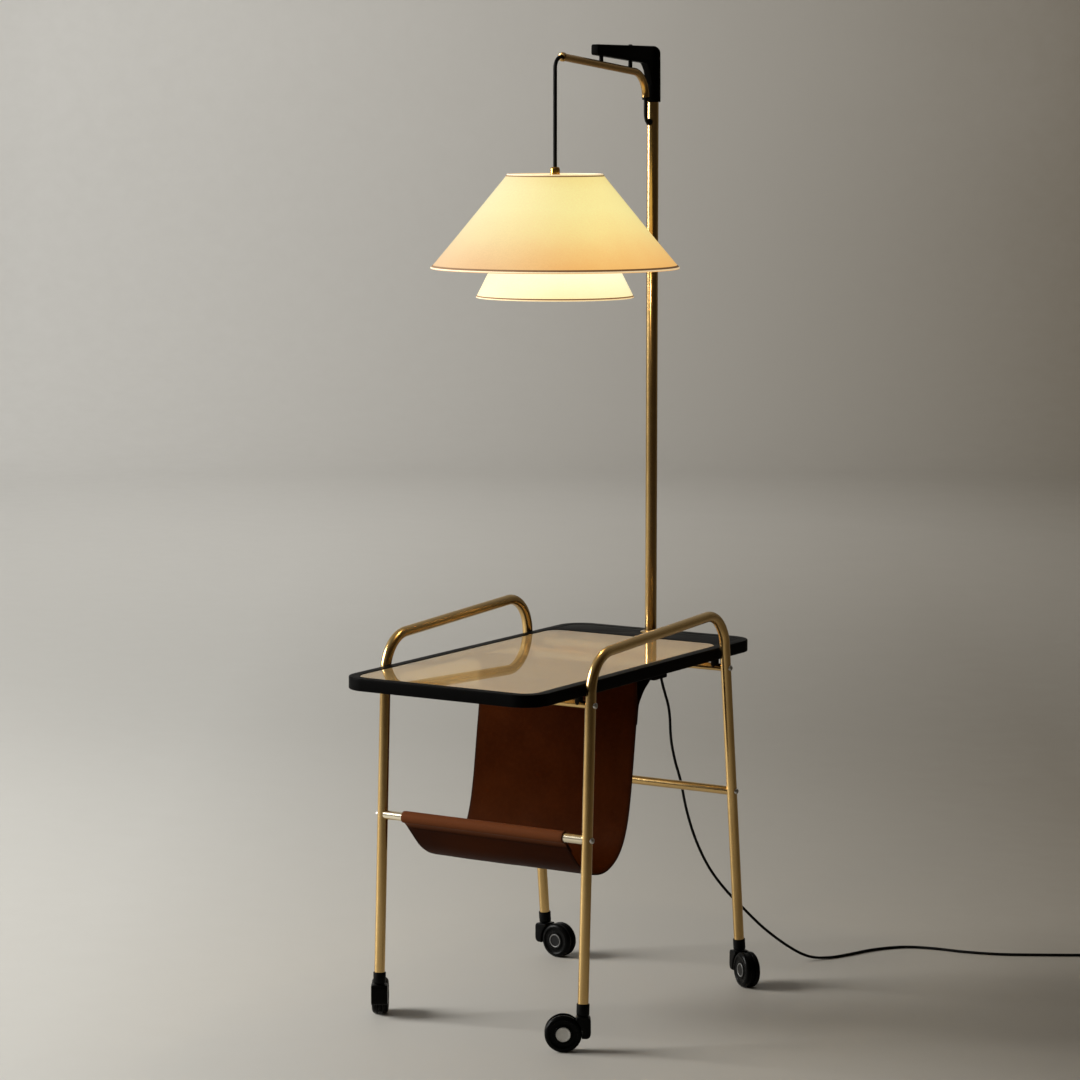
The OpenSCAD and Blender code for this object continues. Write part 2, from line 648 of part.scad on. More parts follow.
module bulb_cap() {
  color(steel) translate([0, 0, bulb_z + 41]) rotate_extrude()
    polygon([[0, 0], [12.6, 0], [13.2, 2], [13.2, 20], [10, 24], [5, 27], [0, 27]]);
}
// A conical shell of cloth
module cone_shell(d0, d1, z0, h) {
  rotate_extrude($fn = 96) polygon([[d0 / 2 - shade_t, z0], [d0 / 2, z0],
    [d1 / 2, z0 + h], [d1 / 2 - shade_t, z0 + h]]);
}
module outer_shade() {
  color([0.93, 0.85, 0.68]) cone_shell(shade_d, shade_top_d, shade_top - shade_h, shade_h);
}
inner_h = 103;
inner_z = lamp_h - 389;
module inner_shade() {
  color([0.97, 0.92, 0.78]) cone_shell(inner_d, inner_top_d, inner_z, inner_h);
}
module wire_ring(r, z, w) {
  translate([0, 0, z]) rotate_extrude($fn = 96) translate([r, 0]) circle(d = w, $fn = 16);
}
// Radius of a wire of diameter w that lies against the cloth, dz above the lower rim
function wire_r(d0, d1, h, dz, w) =
  let (k = (d0 - d1) / 2 / h) d0 / 2 - shade_t - k * dz - w / 2 * sqrt(1 + k * k) - 0.05;
// Wire frames: a ring at each rim, and three spokes to the lampholder
module outer_shade_frame() {
  rt = wire_r(shade_d, shade_top_d, shade_h, shade_h - 4, 2.6);
  color(brass) {
    difference() {
      union() {
        wire_ring(rt, shade_top - 4, 2.6);
        for (a = [30, 150, 270]) rotate([0, 0, a]) translate([8, 0, shade_top - 4]) rotate([0, 90, 0])
          cylinder(d = 2.6, h = rt - 8);
        translate([0, 0, lh_top - 1.5]) cylinder(d = 22, h = 2.9);
      }
      translate([0, 0, lh_top - 4]) cylinder(d = 10.1, h = 10);
    }
    wire_ring(wire_r(shade_d, shade_top_d, shade_h, 1.5, 2.4), shade_top - shade_h + 1.5, 2.4);
  }
}
sp_z = lh_top - 67;
module inner_shade_frame() {
  rt = wire_r(inner_d, inner_top_d, inner_h, inner_h - 2, 2.4);
  zt = inner_z + inner_h - 2;
  color(brass) {
    wire_ring(rt, zt, 2.4);
    for (a = [90, 210, 330]) rotate([0, 0, a])
      along([21.4, 0, sp_z + 1.1], [rt - 21.4, 0, zt - sp_z - 1.1])
        cylinder(d = 2.4, h = norm([rt - 21.4, zt - sp_z - 1.1]));
    difference() {
      translate([0, 0, sp_z]) cylinder(d = 44, h = 2);
      translate([0, 0, sp_z - 1]) cylinder(d = 34.2, h = 6);
    }
    wire_ring(wire_r(inner_d, inner_top_d, inner_h, 1.5, 2.2), inner_z + 1.5, 2.2);
  }
}

// ---- mains cord ----
plug_u = [cos(plug_a), sin(plug_a)];
function plug_at(d, z) = [plug_p[0] + d * plug_u[0], plug_p[1] + d * plug_u[1], z];
function coil_at(r, a, z) = [coil_c[0] + r * cos(a), coil_c[1] + r * sin(a), z];
module mains_cord() {
  color(black) {
    sweep(smooth(mains_pts, 2), mains_d / 2, 8, [0, 1, 0]);
    // from the coil to the plug
    sweep(smooth([coil_at(32.3, 38, 7), coil_at(32.3, 55, 6.8), [601, 823, 6], [580, 836, 6.6], plug_at(-16, 7), plug_at(-5, 7)], 3),
      mains_d / 2, 8, [0, 0, 1]);
  }
}
module cord_coil() {
  color(black) translate([coil_c[0], coil_c[1], 0.3]) rotate_extrude()
    polygon([[coil_r_in + 1, 0], [coil_r_out - 1, 0], [coil_r_out, 1], [coil_r_out, 4.4],
             [coil_r_out - 2.2, 9], [coil_r_in + 2.2, 9], [coil_r_in, 4.4], [coil_r_in, 1]]);
}
module coil_tie() {
  color(black) translate([coil_c[0], coil_c[1], 0]) rotate([0, 0, 215])
    translate([(coil_r_in + coil_r_out) / 2 - 0.1, 0, 4.9]) difference() {
      cube([16, 7, 9.8], center = true);
      cube([14.5, 8, 9.3], center = true);
    }
}
module plug_body() {
  color(black) translate([plug_p[0], plug_p[1], 0]) rotate([0, 0, plug_a]) difference() {
    union() {
      translate([0, 0, 7]) rotate([0, 90, 0]) linear_extrude(34) rrect(13.6, 26, 6.4);
      translate([-17, 0, 7]) rotate([0, 90, 0]) cylinder(d1 = 7, d2 = 11, h = 17);
    }
    translate([-18, 0, 7]) rotate([0, 90, 0]) cylinder(d = mains_d + 0.4, h = 14);
  }
}
module plug_pins() {
  color(steel) translate([plug_p[0], plug_p[1], 7]) rotate([0, 0, plug_a])
    for (s = [-9.5, 9.5]) translate([34, s, 0]) rotate([0, 90, 0]) {
      cylinder(d = 4, h = 18);
      translate([0, 0, 18]) sphere(d = 4);
    }
}

// ---- casters ----
module caster_ferrules() {
  color(black) for (s = [-1, 1], rear = [false, true]) {
    sl = rear ? rear_slope : -front_slope;
    y = rear ? sw_r : sw_f;
    ta = atan(sl);
    difference() {
      translate([s * fx, y, ferrule_bot]) rotate([ta, 0, 0]) union() {
        difference() {
          cylinder(d = tube_d + 3.2, h = ferrule_top - ferrule_bot);
          translate([0, 0, 4]) cylinder(d = tube_d + 0.12, h = 30);
        }
        translate([0, 0, 3]) cylinder(d = tube_d - 2 * tube_wall - 0.36, h = 19);
      }
      translate([s * fx, y, ferrule_bot - 10]) cylinder(d = 8.1, h = 29);
    }
  }
}
// Local frame of a caster: swivel axis at the origin, wheels trail along +X
module hood() {
  h2 = caster_w / 2;
  difference() {
    union() {
      difference() {
        translate([0, h2, 0]) rotate([90, 0, 0]) linear_extrude(caster_w)
          polygon([[8.6, 53.2], [-8.4, 53.2], [-10.8, 52], [-12, 49], [-12.1, 30], [-11.5, 25.4], [-9.6, 22.6],
                   [-6.4, 21.4], [6, 21.4], [12, 47]]);
        translate([trail, 0, wr]) rotate([90, 0, 0]) cylinder(r = wr + 1, h = 60, center = true, $fn = 96);
      }
      // middle web with the axle's boss
      translate([trail, 0, wr]) rotate([90, 0, 0]) cylinder(r = wr - 2.4, h = 5.4, center = true, $fn = 96);
      translate([-6, -2.7, 22]) cube([14, 5.4, 28]);
      translate([0, 0, 48]) cylinder(d = 8, h = 23.6);
    }
    translate([trail, 0, wr]) rotate([90, 0, 0]) cylinder(d = 6.1, h = 60, center = true);
    // nothing of the hood may stand in the wheels' space
    for (s = [-1, 1]) translate([trail, s * (h2 / 2 + 1.6 + 0.5), wr]) rotate([90, 0, 0])
      cylinder(r = wr + 1, h = h2 - 3.2 + 1, center = true, $fn = 96);
  }
}
module wheel_pair() {
  h2 = caster_w / 2;
  for (s = [-1, 1]) translate([trail, 0, wr]) rotate([s * -90, 0, 0]) rotate_extrude($fn = 96)
    polygon([[3.02, 3.4], [9, 3.4], [9, 4.4], [20, 4.4], [22, 3.4], [wr - 1.6, 3.4], [wr - 0.3, 4.4], [wr, 6],
             [wr, h2 - 5], [wr - 0.7, h2 - 3], [wr - 2.4, h2 - 1.2], [wr - 4.8, h2 - 0.2], [wr - 6.6, h2], [wr - 8, h2 - 1.4],
             [12.6, h2 - 1.8], [11.6, h2 - 0.4], [11.2, h2 - 0.4], [11.2, h2 - 2.2], [3.02, h2 - 2.2]]);
}
// Axle pin with a round cap at each end
module axle_caps() {
  h2 = caster_w / 2;
  translate([trail, 0, wr]) rotate([90, 0, 0]) {
    cylinder(d = 6, h = caster_w - 4, center = true);
    for (s = [0, 180]) rotate([s, 0, 0]) translate([0, 0, h2 - 2.15]) rotate_extrude()
      polygon([[0, 0], [11.1, 0], [11.1, 1.4], [10.4, 2], [7, 2.3], [0, 2.4]]);
  }
}
module at_caster(s, rear, dir) {
  translate([s * fx, rear ? sw_r : sw_f, 0]) rotate([0, 0, dir]) children();
}
dir_fl = 122; dir_fr = 212; dir_rl = -6; dir_rr = -37;
module hood_fl() { color(black) at_caster(-1, false, dir_fl) hood(); }
module wheels_fl() { color(black) at_caster(-1, false, dir_fl) wheel_pair(); }
module axle_fl() { color(steel) at_caster(-1, false, dir_fl) axle_caps(); }
module hood_fr() { color(black) at_caster(1, false, dir_fr) hood(); }
module wheels_fr() { color(black) at_caster(1, false, dir_fr) wheel_pair(); }
module axle_fr() { color(steel) at_caster(1, false, dir_fr) axle_caps(); }
module hood_rl() { color(black) at_caster(-1, true, dir_rl) hood(); }
module wheels_rl() { color(black) at_caster(-1, true, dir_rl) wheel_pair(); }
module axle_rl() { color(steel) at_caster(-1, true, dir_rl) axle_caps(); }
module hood_rr() { color(black) at_caster(1, true, dir_rr) hood(); }
module wheels_rr() { color(black) at_caster(1, true, dir_rr) wheel_pair(); }
module axle_rr() { color(steel) at_caster(1, true, dir_rr) axle_caps(); }

left_side_frame();
right_side_frame();
front_sling_bar();
rear_stretcher();
front_top_rail();
rear_top_rail();
sling_hanger_bar();
tabletop_frame();
tabletop_glass();
glass_gasket();
tabletop_spacers();
frame_screws();
tabletop_screws();
mast_socket();
socket_nut();
socket_end_plug();
cord_outlet();
cord_strain_relief();
leather_sling();
pole();
pole_wire();
pole_grommet();
head_bracket();
bracket_posts();
bracket_screws();
cord_tube();
tube_bushings();
link_cord();
pendant_cord_top();
pendant_cord();
cord_grip();
lampholder();
lampholder_ring();
switch_bar();
bulb_glass();
bulb_cap();
outer_shade();
outer_shade_frame();
inner_shade();
inner_shade_frame();
mains_cord();
cord_coil();
coil_tie();
plug_body();
plug_pins();
caster_ferrules();
hood_fl();
wheels_fl();
axle_fl();
hood_fr();
wheels_fr();
axle_fr();
hood_rl();
wheels_rl();
axle_rl();
hood_rr();
wheels_rr();
axle_rr();
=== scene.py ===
import math
import random

import bpy
import bmesh
from mathutils import Matrix, Vector, noise


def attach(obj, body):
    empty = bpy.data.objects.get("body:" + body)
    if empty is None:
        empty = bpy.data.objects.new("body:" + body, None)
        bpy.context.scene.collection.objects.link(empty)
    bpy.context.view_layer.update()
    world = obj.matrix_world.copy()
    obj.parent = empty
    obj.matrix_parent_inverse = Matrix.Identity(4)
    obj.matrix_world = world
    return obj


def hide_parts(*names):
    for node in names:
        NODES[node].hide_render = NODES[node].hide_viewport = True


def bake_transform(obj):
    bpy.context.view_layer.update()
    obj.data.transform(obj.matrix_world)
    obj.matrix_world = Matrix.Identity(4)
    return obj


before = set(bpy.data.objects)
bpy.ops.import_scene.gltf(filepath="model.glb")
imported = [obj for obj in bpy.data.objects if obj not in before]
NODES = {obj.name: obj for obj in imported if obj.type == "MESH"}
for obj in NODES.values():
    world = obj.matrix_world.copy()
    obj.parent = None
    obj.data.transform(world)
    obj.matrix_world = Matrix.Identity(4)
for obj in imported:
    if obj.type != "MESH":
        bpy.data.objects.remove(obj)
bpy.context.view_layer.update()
rnd = random.Random(7)
MM = 0.001


# ------------------------------------------------------------------ camera
cam_data = bpy.data.cameras.new("camera")
cam = bpy.data.objects.new("camera", cam_data)
bpy.context.scene.collection.objects.link(cam)
cam.location = (2.8172, -4.5835, 1.3998)
cam.rotation_euler = (math.radians(83.0), 0.0, math.radians(31.8236))
cam_data.sensor_width = 36.0
cam_data.sensor_fit = "HORIZONTAL"
cam_data.lens = 115.9
cam_data.clip_start = 0.1
cam_data.clip_end = 200.0
bpy.context.scene.camera = cam


# ------------------------------------------------------------------ mesh helpers
def add_mesh(name, verts, faces, sharp=35.0):
    me = bpy.data.meshes.new(name)
    me.from_pydata([tuple(v) for v in verts], [], faces)
    me.validate()
    ob = bpy.data.objects.new(name, me)
    bpy.context.scene.collection.objects.link(ob)
    smooth(ob, sharp)
    return ob


def smooth(ob, sharp=35.0):
    me = ob.data
    bm = bmesh.new()
    bm.from_mesh(me)
    bmesh.ops.remove_doubles(bm, verts=bm.verts, dist=1e-7)
    bmesh.ops.recalc_face_normals(bm, faces=bm.faces)
    bm.to_mesh(me)
    bm.free()
    me.polygons.foreach_set("use_smooth", [True] * len(me.polygons))
    me.set_sharp_from_angle(angle=math.radians(sharp))
    me.update()


def parallel_frames(path, up):
    """Tangent and normal at each point of a path, without twist."""
    out = []
    v = Vector(up)
    n = len(path)
    for i in range(n):
        d = (path[min(i + 1, n - 1)] - path[max(i - 1, 0)]).normalized()
        v = (v - d * v.dot(d)).normalized()
        out.append((d, v.copy(), d.cross(v)))
    return out


def tube_data(path, r, sides, up=(1, 0, 0), cap=True):
    """A round tube along a path; r is a radius or a function of the index."""
    path = [Vector(p) for p in path]
    verts, faces = [], []
    fr = parallel_frames(path, up)
    n = len(path)
    for i, (p, (d, v, w)) in enumerate(zip(path, fr)):
        ri = r(i) if callable(r) else r
        for k in range(sides):
            a = 2 * math.pi * k / sides
            verts.append(p + v * (ri * math.cos(a)) + w * (ri * math.sin(a)))
    for i in range(n - 1):
        for k in range(sides):
            l = (k + 1) % sides
            faces.append([i * sides + k, i * sides + l, (i + 1) * sides + l, (i + 1) * sides + k])
    if cap:
        faces.append([k for k in range(sides)][::-1])
        faces.append([(n - 1) * sides + k for k in range(sides)])
    return verts, faces


def tube(name, path, r, sides=32, up=(1, 0, 0), cap=True):
    v, f = tube_data(path, r, sides, up, cap)
    return add_mesh(name, v, f, 50)


def lathe(name, prof, n=64, origin=(0, 0, 0), axis=(0, 0, 1), closed=False, sharp=35.0):
    """Turns (r, z) points in metres about an axis. closed joins the last point to the first."""
    z = Vector(axis).normalized()
    x = Vector((1, 0, 0)) if abs(z.x) < 0.9 else Vector((0, 1, 0))
    x = (x - z * x.dot(z)).normalized()
    y = z.cross(x)
    o = Vector(origin)
    verts, faces, ring = [], [], []
    for r, h in prof:
        if r < 1e-7:
            ring.append([len(verts)])
            verts.append(o + z * h)
        else:
            ring.append(list(range(len(verts), len(verts) + n)))
            for k in range(n):
                a = 2 * math.pi * k / n
                verts.append(o + x * (r * math.cos(a)) + y * (r * math.sin(a)) + z * h)
    pairs = list(zip(ring, ring[1:]))
    if closed:
        pairs.append((ring[-1], ring[0]))
    for a, b in pairs:
        for k in range(n):
            l = (k + 1) % n
            if len(a) == 1 and len(b) == 1:
                break
            if len(a) == 1:
                faces.append([a[0], b[k], b[l]])
            elif len(b) == 1:
                faces.append([a[k], b[0], a[l]])
            else:
                faces.append([a[k], b[k], b[l], a[l]])
    return add_mesh(name, verts, faces, sharp)


def rounded(prof, radius, steps=4, closed=False):
    """Rounds the inner corners of a list of 2D points."""
    out = []
    n = len(prof)
    for i, p in enumerate(prof):
        if not closed and (i == 0 or i == n - 1):
            out.append(tuple(p))
            continue
        a, b, c = Vector(prof[i - 1]), Vector(p), Vector(prof[(i + 1) % n])
        u, v = (a - b), (c - b)
        if u.length < 1e-9 or v.length < 1e-9:
            continue
        cosw = max(-1, min(1, u.normalized().dot(v.normalized())))
        w = math.acos(cosw)
        if abs(math.pi - w) < 0.05:
            out.append(tuple(b))
            continue
        t = min(radius / math.tan(w / 2), u.length * 0.45, v.length * 0.45)
        r = t * math.tan(w / 2)
        p0 = b + u.normalized() * t
        p1 = b + v.normalized() * t
        m = b + (u.normalized() + v.normalized()).normalized() * (r / math.sin(w / 2))
        a0 = math.atan2(p0.y - m.y, p0.x - m.x)
        a1 = math.atan2(p1.y - m.y, p1.x - m.x)
        d = (a1 - a0 + math.pi) % (2 * math.pi) - math.pi
        for k in range(steps + 1):
            q = a0 + d * k / steps
            out.append((m.x + r * math.cos(q), m.y + r * math.sin(q)))
    return out


def rrect_pts(w, l, r, cx=0.0, cy=0.0, steps=12):
    pts = []
    for qx, qy, a0 in ((1, 1, 0), (-1, 1, 90), (-1, -1, 180), (1, -1, 270)):
        for k in range(steps + 1):
            a = math.radians(a0 + 90 * k / steps)
            pts.append((cx + qx * (w / 2 - r) + r * math.cos(a), cy + qy * (l / 2 - r) + r * math.sin(a)))
    return pts


def plate(name, outlines, z0, z1, bevel=0.0, res=3, plane="XY", sharp=30.0):
    """A flat plate with rounded edges, from an outline and its holes.
    plane XY is extruded along Z from z0 to z1; YZ takes (y, z) outlines and is extruded along X."""
    cu = bpy.data.curves.new(name, "CURVE")
    cu.dimensions = "2D"
    cu.fill_mode = "BOTH"
    for pts in outlines:
        sp = cu.splines.new("POLY")
        sp.points.add(len(pts) - 1)
        for p, q in zip(sp.points, pts):
            p.co = (q[0], q[1], 0, 1)
        sp.use_cyclic_u = True
    h = z1 - z0
    cu.extrude = h / 2 - bevel
    cu.bevel_depth = bevel
    cu.bevel_resolution = res
    cu.offset = -bevel
    tmp = bpy.data.objects.new(name + "_c", cu)
    bpy.context.scene.collection.objects.link(tmp)
    dg = bpy.context.evaluated_depsgraph_get()
    me = bpy.data.meshes.new_from_object(tmp.evaluated_get(dg))
    bpy.data.objects.remove(tmp)
    bpy.data.curves.remove(cu)
    me.name = name
    me.transform(Matrix.Translation((0, 0, (z0 + z1) / 2)))
    if plane == "YZ":
        me.transform(Matrix(((0, 0, 1, 0), (1, 0, 0, 0), (0, 1, 0, 0), (0, 0, 0, 1))))
    ob = bpy.data.objects.new(name, me)
    me.materials.clear()
    bpy.context.scene.collection.objects.link(ob)
    smooth(ob, sharp)
    return ob


def join(name, obs):
    obs = list(obs)
    bm = bmesh.new()
    for o in obs:
        me = o.data.copy()
        me.transform(o.matrix_world)
        bm.from_mesh(me)
        bpy.data.meshes.remove(me)
    me = bpy.data.meshes.new(name)
    bm.to_mesh(me)
    bm.free()
    for o in obs:
        bpy.data.objects.remove(o)
    ob = bpy.data.objects.new(name, me)
    bpy.context.scene.collection.objects.link(ob)
    return ob


def place(ob, m):
    ob.data.transform(m)
    return ob


def bent_path(pts, radius, steps=20, straight=1):
    """Points along a polyline whose corners are bent to a radius."""
    pts = [Vector(p) for p in pts]
    out = [pts[0]]
    for i in range(1, len(pts) - 1):
        a, b, c = pts[i - 1], pts[i], pts[i + 1]
        d1, d2 = (b - a).normalized(), (c - b).normalized()
        w = d1.angle(d2)
        t = radius * math.tan(w / 2)
        m = b + (d2 - d1).normalized() * (radius / math.cos(w / 2))
        s = b - d1 * t - m
        ax = d1.cross(d2).normalized()
        for k in range(steps + 1):
            out.append(m + Matrix.Rotation(w * k / steps, 3, ax) @ s)
    out.append(pts[-1])
    if straight > 1:
        full = [out[0]]
        for a, b in zip(out, out[1:]):
            k = max(1, int((b - a).length / straight * 1.0)) if straight > 1 else 1
            full += [a.lerp(b, j / k) for j in range(1, k + 1)]
        out = full
    return out


def catmull(pts, k):
    out = []
    n = len(pts)
    pts = [Vector(p) for p in pts]
    for i in range(n - 1):
        p0, p1, p2, p3 = pts[max(i - 1, 0)], pts[i], pts[i + 1], pts[min(i + 2, n - 1)]
        for j in range(k):
            t = j / k
            out.append(0.5 * (2 * p1 + (p2 - p0) * t + (2 * p0 - 5 * p1 + 4 * p2 - p3) * t * t
                              + (3 * p1 - p0 - 3 * p2 + p3) * t ** 3))
    out.append(pts[-1])
    return out


def resample(pts, step):
    """Evenly spaced points along a polyline."""
    cum = [0.0]
    for a, b in zip(pts, pts[1:]):
        cum.append(cum[-1] + (b - a).length)
    n = max(2, int(round(cum[-1] / step)))
    out, j = [], 0
    for i in range(n + 1):
        s = cum[-1] * i / n
        while j < len(cum) - 2 and cum[j + 1] < s:
            j += 1
        f = (s - cum[j]) / max(1e-12, cum[j + 1] - cum[j])
        out.append(pts[j].lerp(pts[j + 1], min(1, max(0, f))))
    return out


def length_of(pts):
    return sum((Vector(b) - Vector(a)).length for a, b in zip(pts, pts[1:]))


def at(*p):
    """Millimetres to metres."""
    return Vector([c * MM for c in p])


# ------------------------------------------------------------------ materials
class Mat:
    def __init__(self, name):
        self.m = bpy.data.materials.new(name)
        self.m.use_nodes = True
        self.nt = self.m.node_tree
        self.nt.nodes.clear()
        self.out = self.new("ShaderNodeOutputMaterial")
        self.b = self.new("ShaderNodeBsdfPrincipled")
        self.link(self.b.outputs[0], self.out.inputs[0])

    def new(self, kind, **kw):
        n = self.nt.nodes.new(kind)
        for k, v in kw.items():
            setattr(n, k, v)
        return n

    def link(self, a, b):
        self.nt.links.new(a, b)

    def set(self, **kw):
        for k, v in kw.items():
            self.b.inputs[k.replace("_", " ")].default_value = v
        return self

    def coords(self, scale=(1, 1, 1), rot=(0, 0, 0)):
        tc = self.new("ShaderNodeTexCoord")
        mp = self.new("ShaderNodeMapping")
        mp.inputs["Scale"].default_value = scale
        mp.inputs["Rotation"].default_value = rot
        self.link(tc.outputs["Object"], mp.inputs["Vector"])
        return mp.outputs[0]

    def noise(self, vec, scale, detail=3.0, rough=0.5, dist=0.0):
        n = self.new("ShaderNodeTexNoise")
        n.inputs["Scale"].default_value = scale
        n.inputs["Detail"].default_value = detail
        n.inputs["Roughness"].default_value = rough
        n.inputs["Distortion"].default_value = dist
        self.link(vec, n.inputs["Vector"])
        return n.outputs["Fac"]

    def voronoi(self, vec, scale, feature="F1"):
        n = self.new("ShaderNodeTexVoronoi", feature=feature)
        n.inputs["Scale"].default_value = scale
        self.link(vec, n.inputs["Vector"])
        return n.outputs["Distance"]

    def ramp(self, fac, stops, interp="LINEAR"):
        r = self.new("ShaderNodeValToRGB")
        r.color_ramp.interpolation = interp
        e = r.color_ramp.elements
        while len(e) > 1:
            e.remove(e[-1])
        e[0].position = stops[0][0]
        e[0].color = (*stops[0][1], 1)
        for p, c in stops[1:]:
            x = e.new(p)
            x.color = (*c, 1)
        self.link(fac, r.inputs[0])
        return r.outputs[0]

    def math(self, op, a, b=0.5, clamp=False):
        n = self.new("ShaderNodeMath", operation=op, use_clamp=clamp)
        for i, x in enumerate((a, b)):
            if hasattr(x, "node"):
                self.link(x, n.inputs[i])
            else:
                n.inputs[i].default_value = x
        return n.outputs[0]

    def mix(self, fac, a, b, kind="MIX"):
        n = self.new("ShaderNodeMix", data_type="RGBA", blend_type=kind)
        for i, x in ((0, fac), (6, a), (7, b)):
            if hasattr(x, "node"):
                self.link(x, n.inputs[i])
            else:
                n.inputs[i].default_value = x if i == 0 else (*x, 1)
        return n.outputs[2]

    def range(self, x, a, b, c, d):
        n = self.new("ShaderNodeMapRange")
        self.link(x, n.inputs[0])
        for i, v in enumerate((a, b, c, d)):
            n.inputs[i + 1].default_value = v
        return n.outputs[0]

    def bump(self, height, strength=0.3, dist=0.0005, normal=None):
        n = self.new("ShaderNodeBump")
        n.inputs["Strength"].default_value = strength
        n.inputs["Distance"].default_value = dist
        self.link(height, n.inputs["Height"])
        if normal is not None:
            self.link(normal, n.inputs["Normal"])
        self.link(n.outputs[0], self.b.inputs["Normal"])
        return n.outputs[0]

    def to(self, socket, name):
        self.link(socket, self.b.inputs[name])
        return self


def brass_material(name, along, base=(0.62, 0.415, 0.168)):
    """Satin antique brass with fine drawing lines along the part."""
    m = Mat(name)
    r, g, b = base
    big = m.noise(m.coords(), 9.0, 4.0, 0.55)
    spots = m.noise(m.coords(), 55.0, 5.0, 0.6)
    col = m.ramp(big, [(0.30, (r * 0.91, g * 0.89, b * 0.86)), (0.55, base), (0.75, (r * 1.06, g * 1.08, b * 1.12))])
    dark = m.range(spots, 0.60, 0.80, 0.0, 0.07)
    col = m.mix(dark, col, (r * 0.55, g * 0.49, b * 0.42))
    m.to(col, "Base Color")
    s = {"x": (14, 900, 900), "y": (900, 14, 900), "z": (900, 900, 14)}[along]
    lines = m.noise(m.coords(s), 1.0, 2.0, 0.5)
    rough = m.math("ADD", m.range(lines, 0.3, 0.7, 0.212, 0.238), m.range(spots, 0.4, 0.8, 0.0, 0.03))
    m.to(rough, "Roughness")
    m.set(Metallic=1.0, Anisotropic=0.0)
    m.bump(lines, 0.06, 0.00008)
    return m.m


def black_metal(name, base=0.0016, rough=0.44):
    m = Mat(name)
    n = m.noise(m.coords(), 420.0, 3.0, 0.6)
    big = m.noise(m.coords(), 7.0, 3.0, 0.5)
    m.to(m.ramp(big, [(0.3, (base * 0.8, base * 0.78, base * 0.74)), (0.75, (base * 1.5, base * 1.45, base * 1.36))]), "Base Color")
    m.to(m.math("ADD", m.range(big, 0.3, 0.7, rough - 0.05, rough + 0.04), m.range(n, 0.3, 0.7, -0.03, 0.03)), "Roughness")
    m.set(Specular_IOR_Level=0.02)
    m.bump(n, 0.12, 0.00008)
    return m.m


def plastic(name, col, rough=0.45, grain=600.0, depth=0.00006, spec=0.5):
    m = Mat(name)
    n = m.noise(m.coords(), grain, 3.0, 0.6)
    big = m.noise(m.coords(), 30.0, 3.0, 0.6)
    m.to(m.ramp(big, [(0.3, tuple(c * 0.85 for c in col)), (0.7, tuple(c * 1.15 for c in col))]), "Base Color")
    m.to(m.range(big, 0.3, 0.7, rough - 0.05, rough + 0.06), "Roughness")
    m.set(Specular_IOR_Level=spec)
    m.bump(n, 0.2, depth)
    return m.m


def rubber(name, col=(0.0026, 0.0026, 0.0025), rough=0.62):
    m = Mat(name)
    n = m.noise(m.coords(), 800.0, 4.0, 0.65)
    dust = m.noise(m.coords(), 60.0, 5.0, 0.6)
    m.to(m.ramp(dust, [(0.35, col), (0.8, tuple(c * 1.8 + 0.0004 for c in col))]), "Base Color")
    m.to(m.range(dust, 0.3, 0.8, rough - 0.08, rough + 0.12), "Roughness")
    m.set(Specular_IOR_Level=0.08)
    m.bump(n, 0.25, 0.00008)
    return m.m


def steel(name, col=(0.62, 0.61, 0.58), rough=0.3):
    m = Mat(name)
    n = m.noise(m.coords(), 300.0, 3.0, 0.6)
    m.to(m.ramp(n, [(0.3, tuple(c * 0.8 for c in col)), (0.7, col)]), "Base Color")
    m.to(m.range(n, 0.3, 0.7, rough - 0.06, rough + 0.08), "Roughness")
    m.set(Metallic=1.0)
    m.bump(n, 0.08, 0.00006)
    return m.m


def glass_material(name):
    m = Mat(name)
    n = m.noise(m.coords(), 3.0, 2.0, 0.5)
    m.to(m.ramp(n, [(0.3, (0.985, 0.725, 0.36)), (0.7, (0.995, 0.75, 0.385))]), "Base Color")
    smear = m.noise(m.coords(), 22.0, 4.0, 0.6)
    m.to(m.range(smear, 0.4, 0.8, 0.015, 0.05), "Roughness")
    m.set(Transmission_Weight=0.78, IOR=1.52, Specular_IOR_Level=0.62, Specular_Tint=(1.0, 0.84, 0.58, 1))
    return m.m


def leather_material(name):
    m = Mat(name)
    co = m.coords()
    mot = m.noise(co, 7.0, 5.0, 0.6, 0.4)
    fine = m.noise(co, 160.0, 4.0, 0.6)
    col = m.ramp(mot, [(0.25, (0.020, 0.0036, 0.0004)), (0.5, (0.029, 0.0056, 0.0006)), (0.8, (0.046, 0.0100, 0.0014))])
    col = m.mix(m.range(fine, 0.45, 0.8, 0.0, 0.35), col, (0.052, 0.0115, 0.0020))
    at_ = m.new("ShaderNodeAttribute", attribute_name="edge", attribute_type="GEOMETRY")
    col = m.mix(m.math("MULTIPLY", at_.outputs["Fac"], 0.85), col, (0.014, 0.0055, 0.0030))
    # the roll round the front bar is painted lighter, partly rub wear and partly a painted sheen
    rub_sheen_attr = m.new("ShaderNodeAttribute", attribute_name="rub_and_sheen", attribute_type="GEOMETRY")
    col = m.mix(m.math("MULTIPLY", rub_sheen_attr.outputs["Fac"], 0.6), col, (0.165, 0.055, 0.022))
    m.to(col, "Base Color")
    m.to(m.math("ADD", m.range(mot, 0.3, 0.7, 0.40, 0.48), m.range(fine, 0.3, 0.7, -0.04, 0.05)), "Roughness")
    m.set(Specular_IOR_Level=0.012, Specular_Tint=(1.0, 0.50, 0.24, 1))
    pores = m.voronoi(co, 900.0)
    creases = m.noise(m.coords((1, 1, 1)), 330.0, 5.0, 0.7, 0.6)
    h = m.math("ADD", m.math("MULTIPLY", pores, 0.6), creases)
    m.bump(h, 0.22, 0.00022)
    return m.m


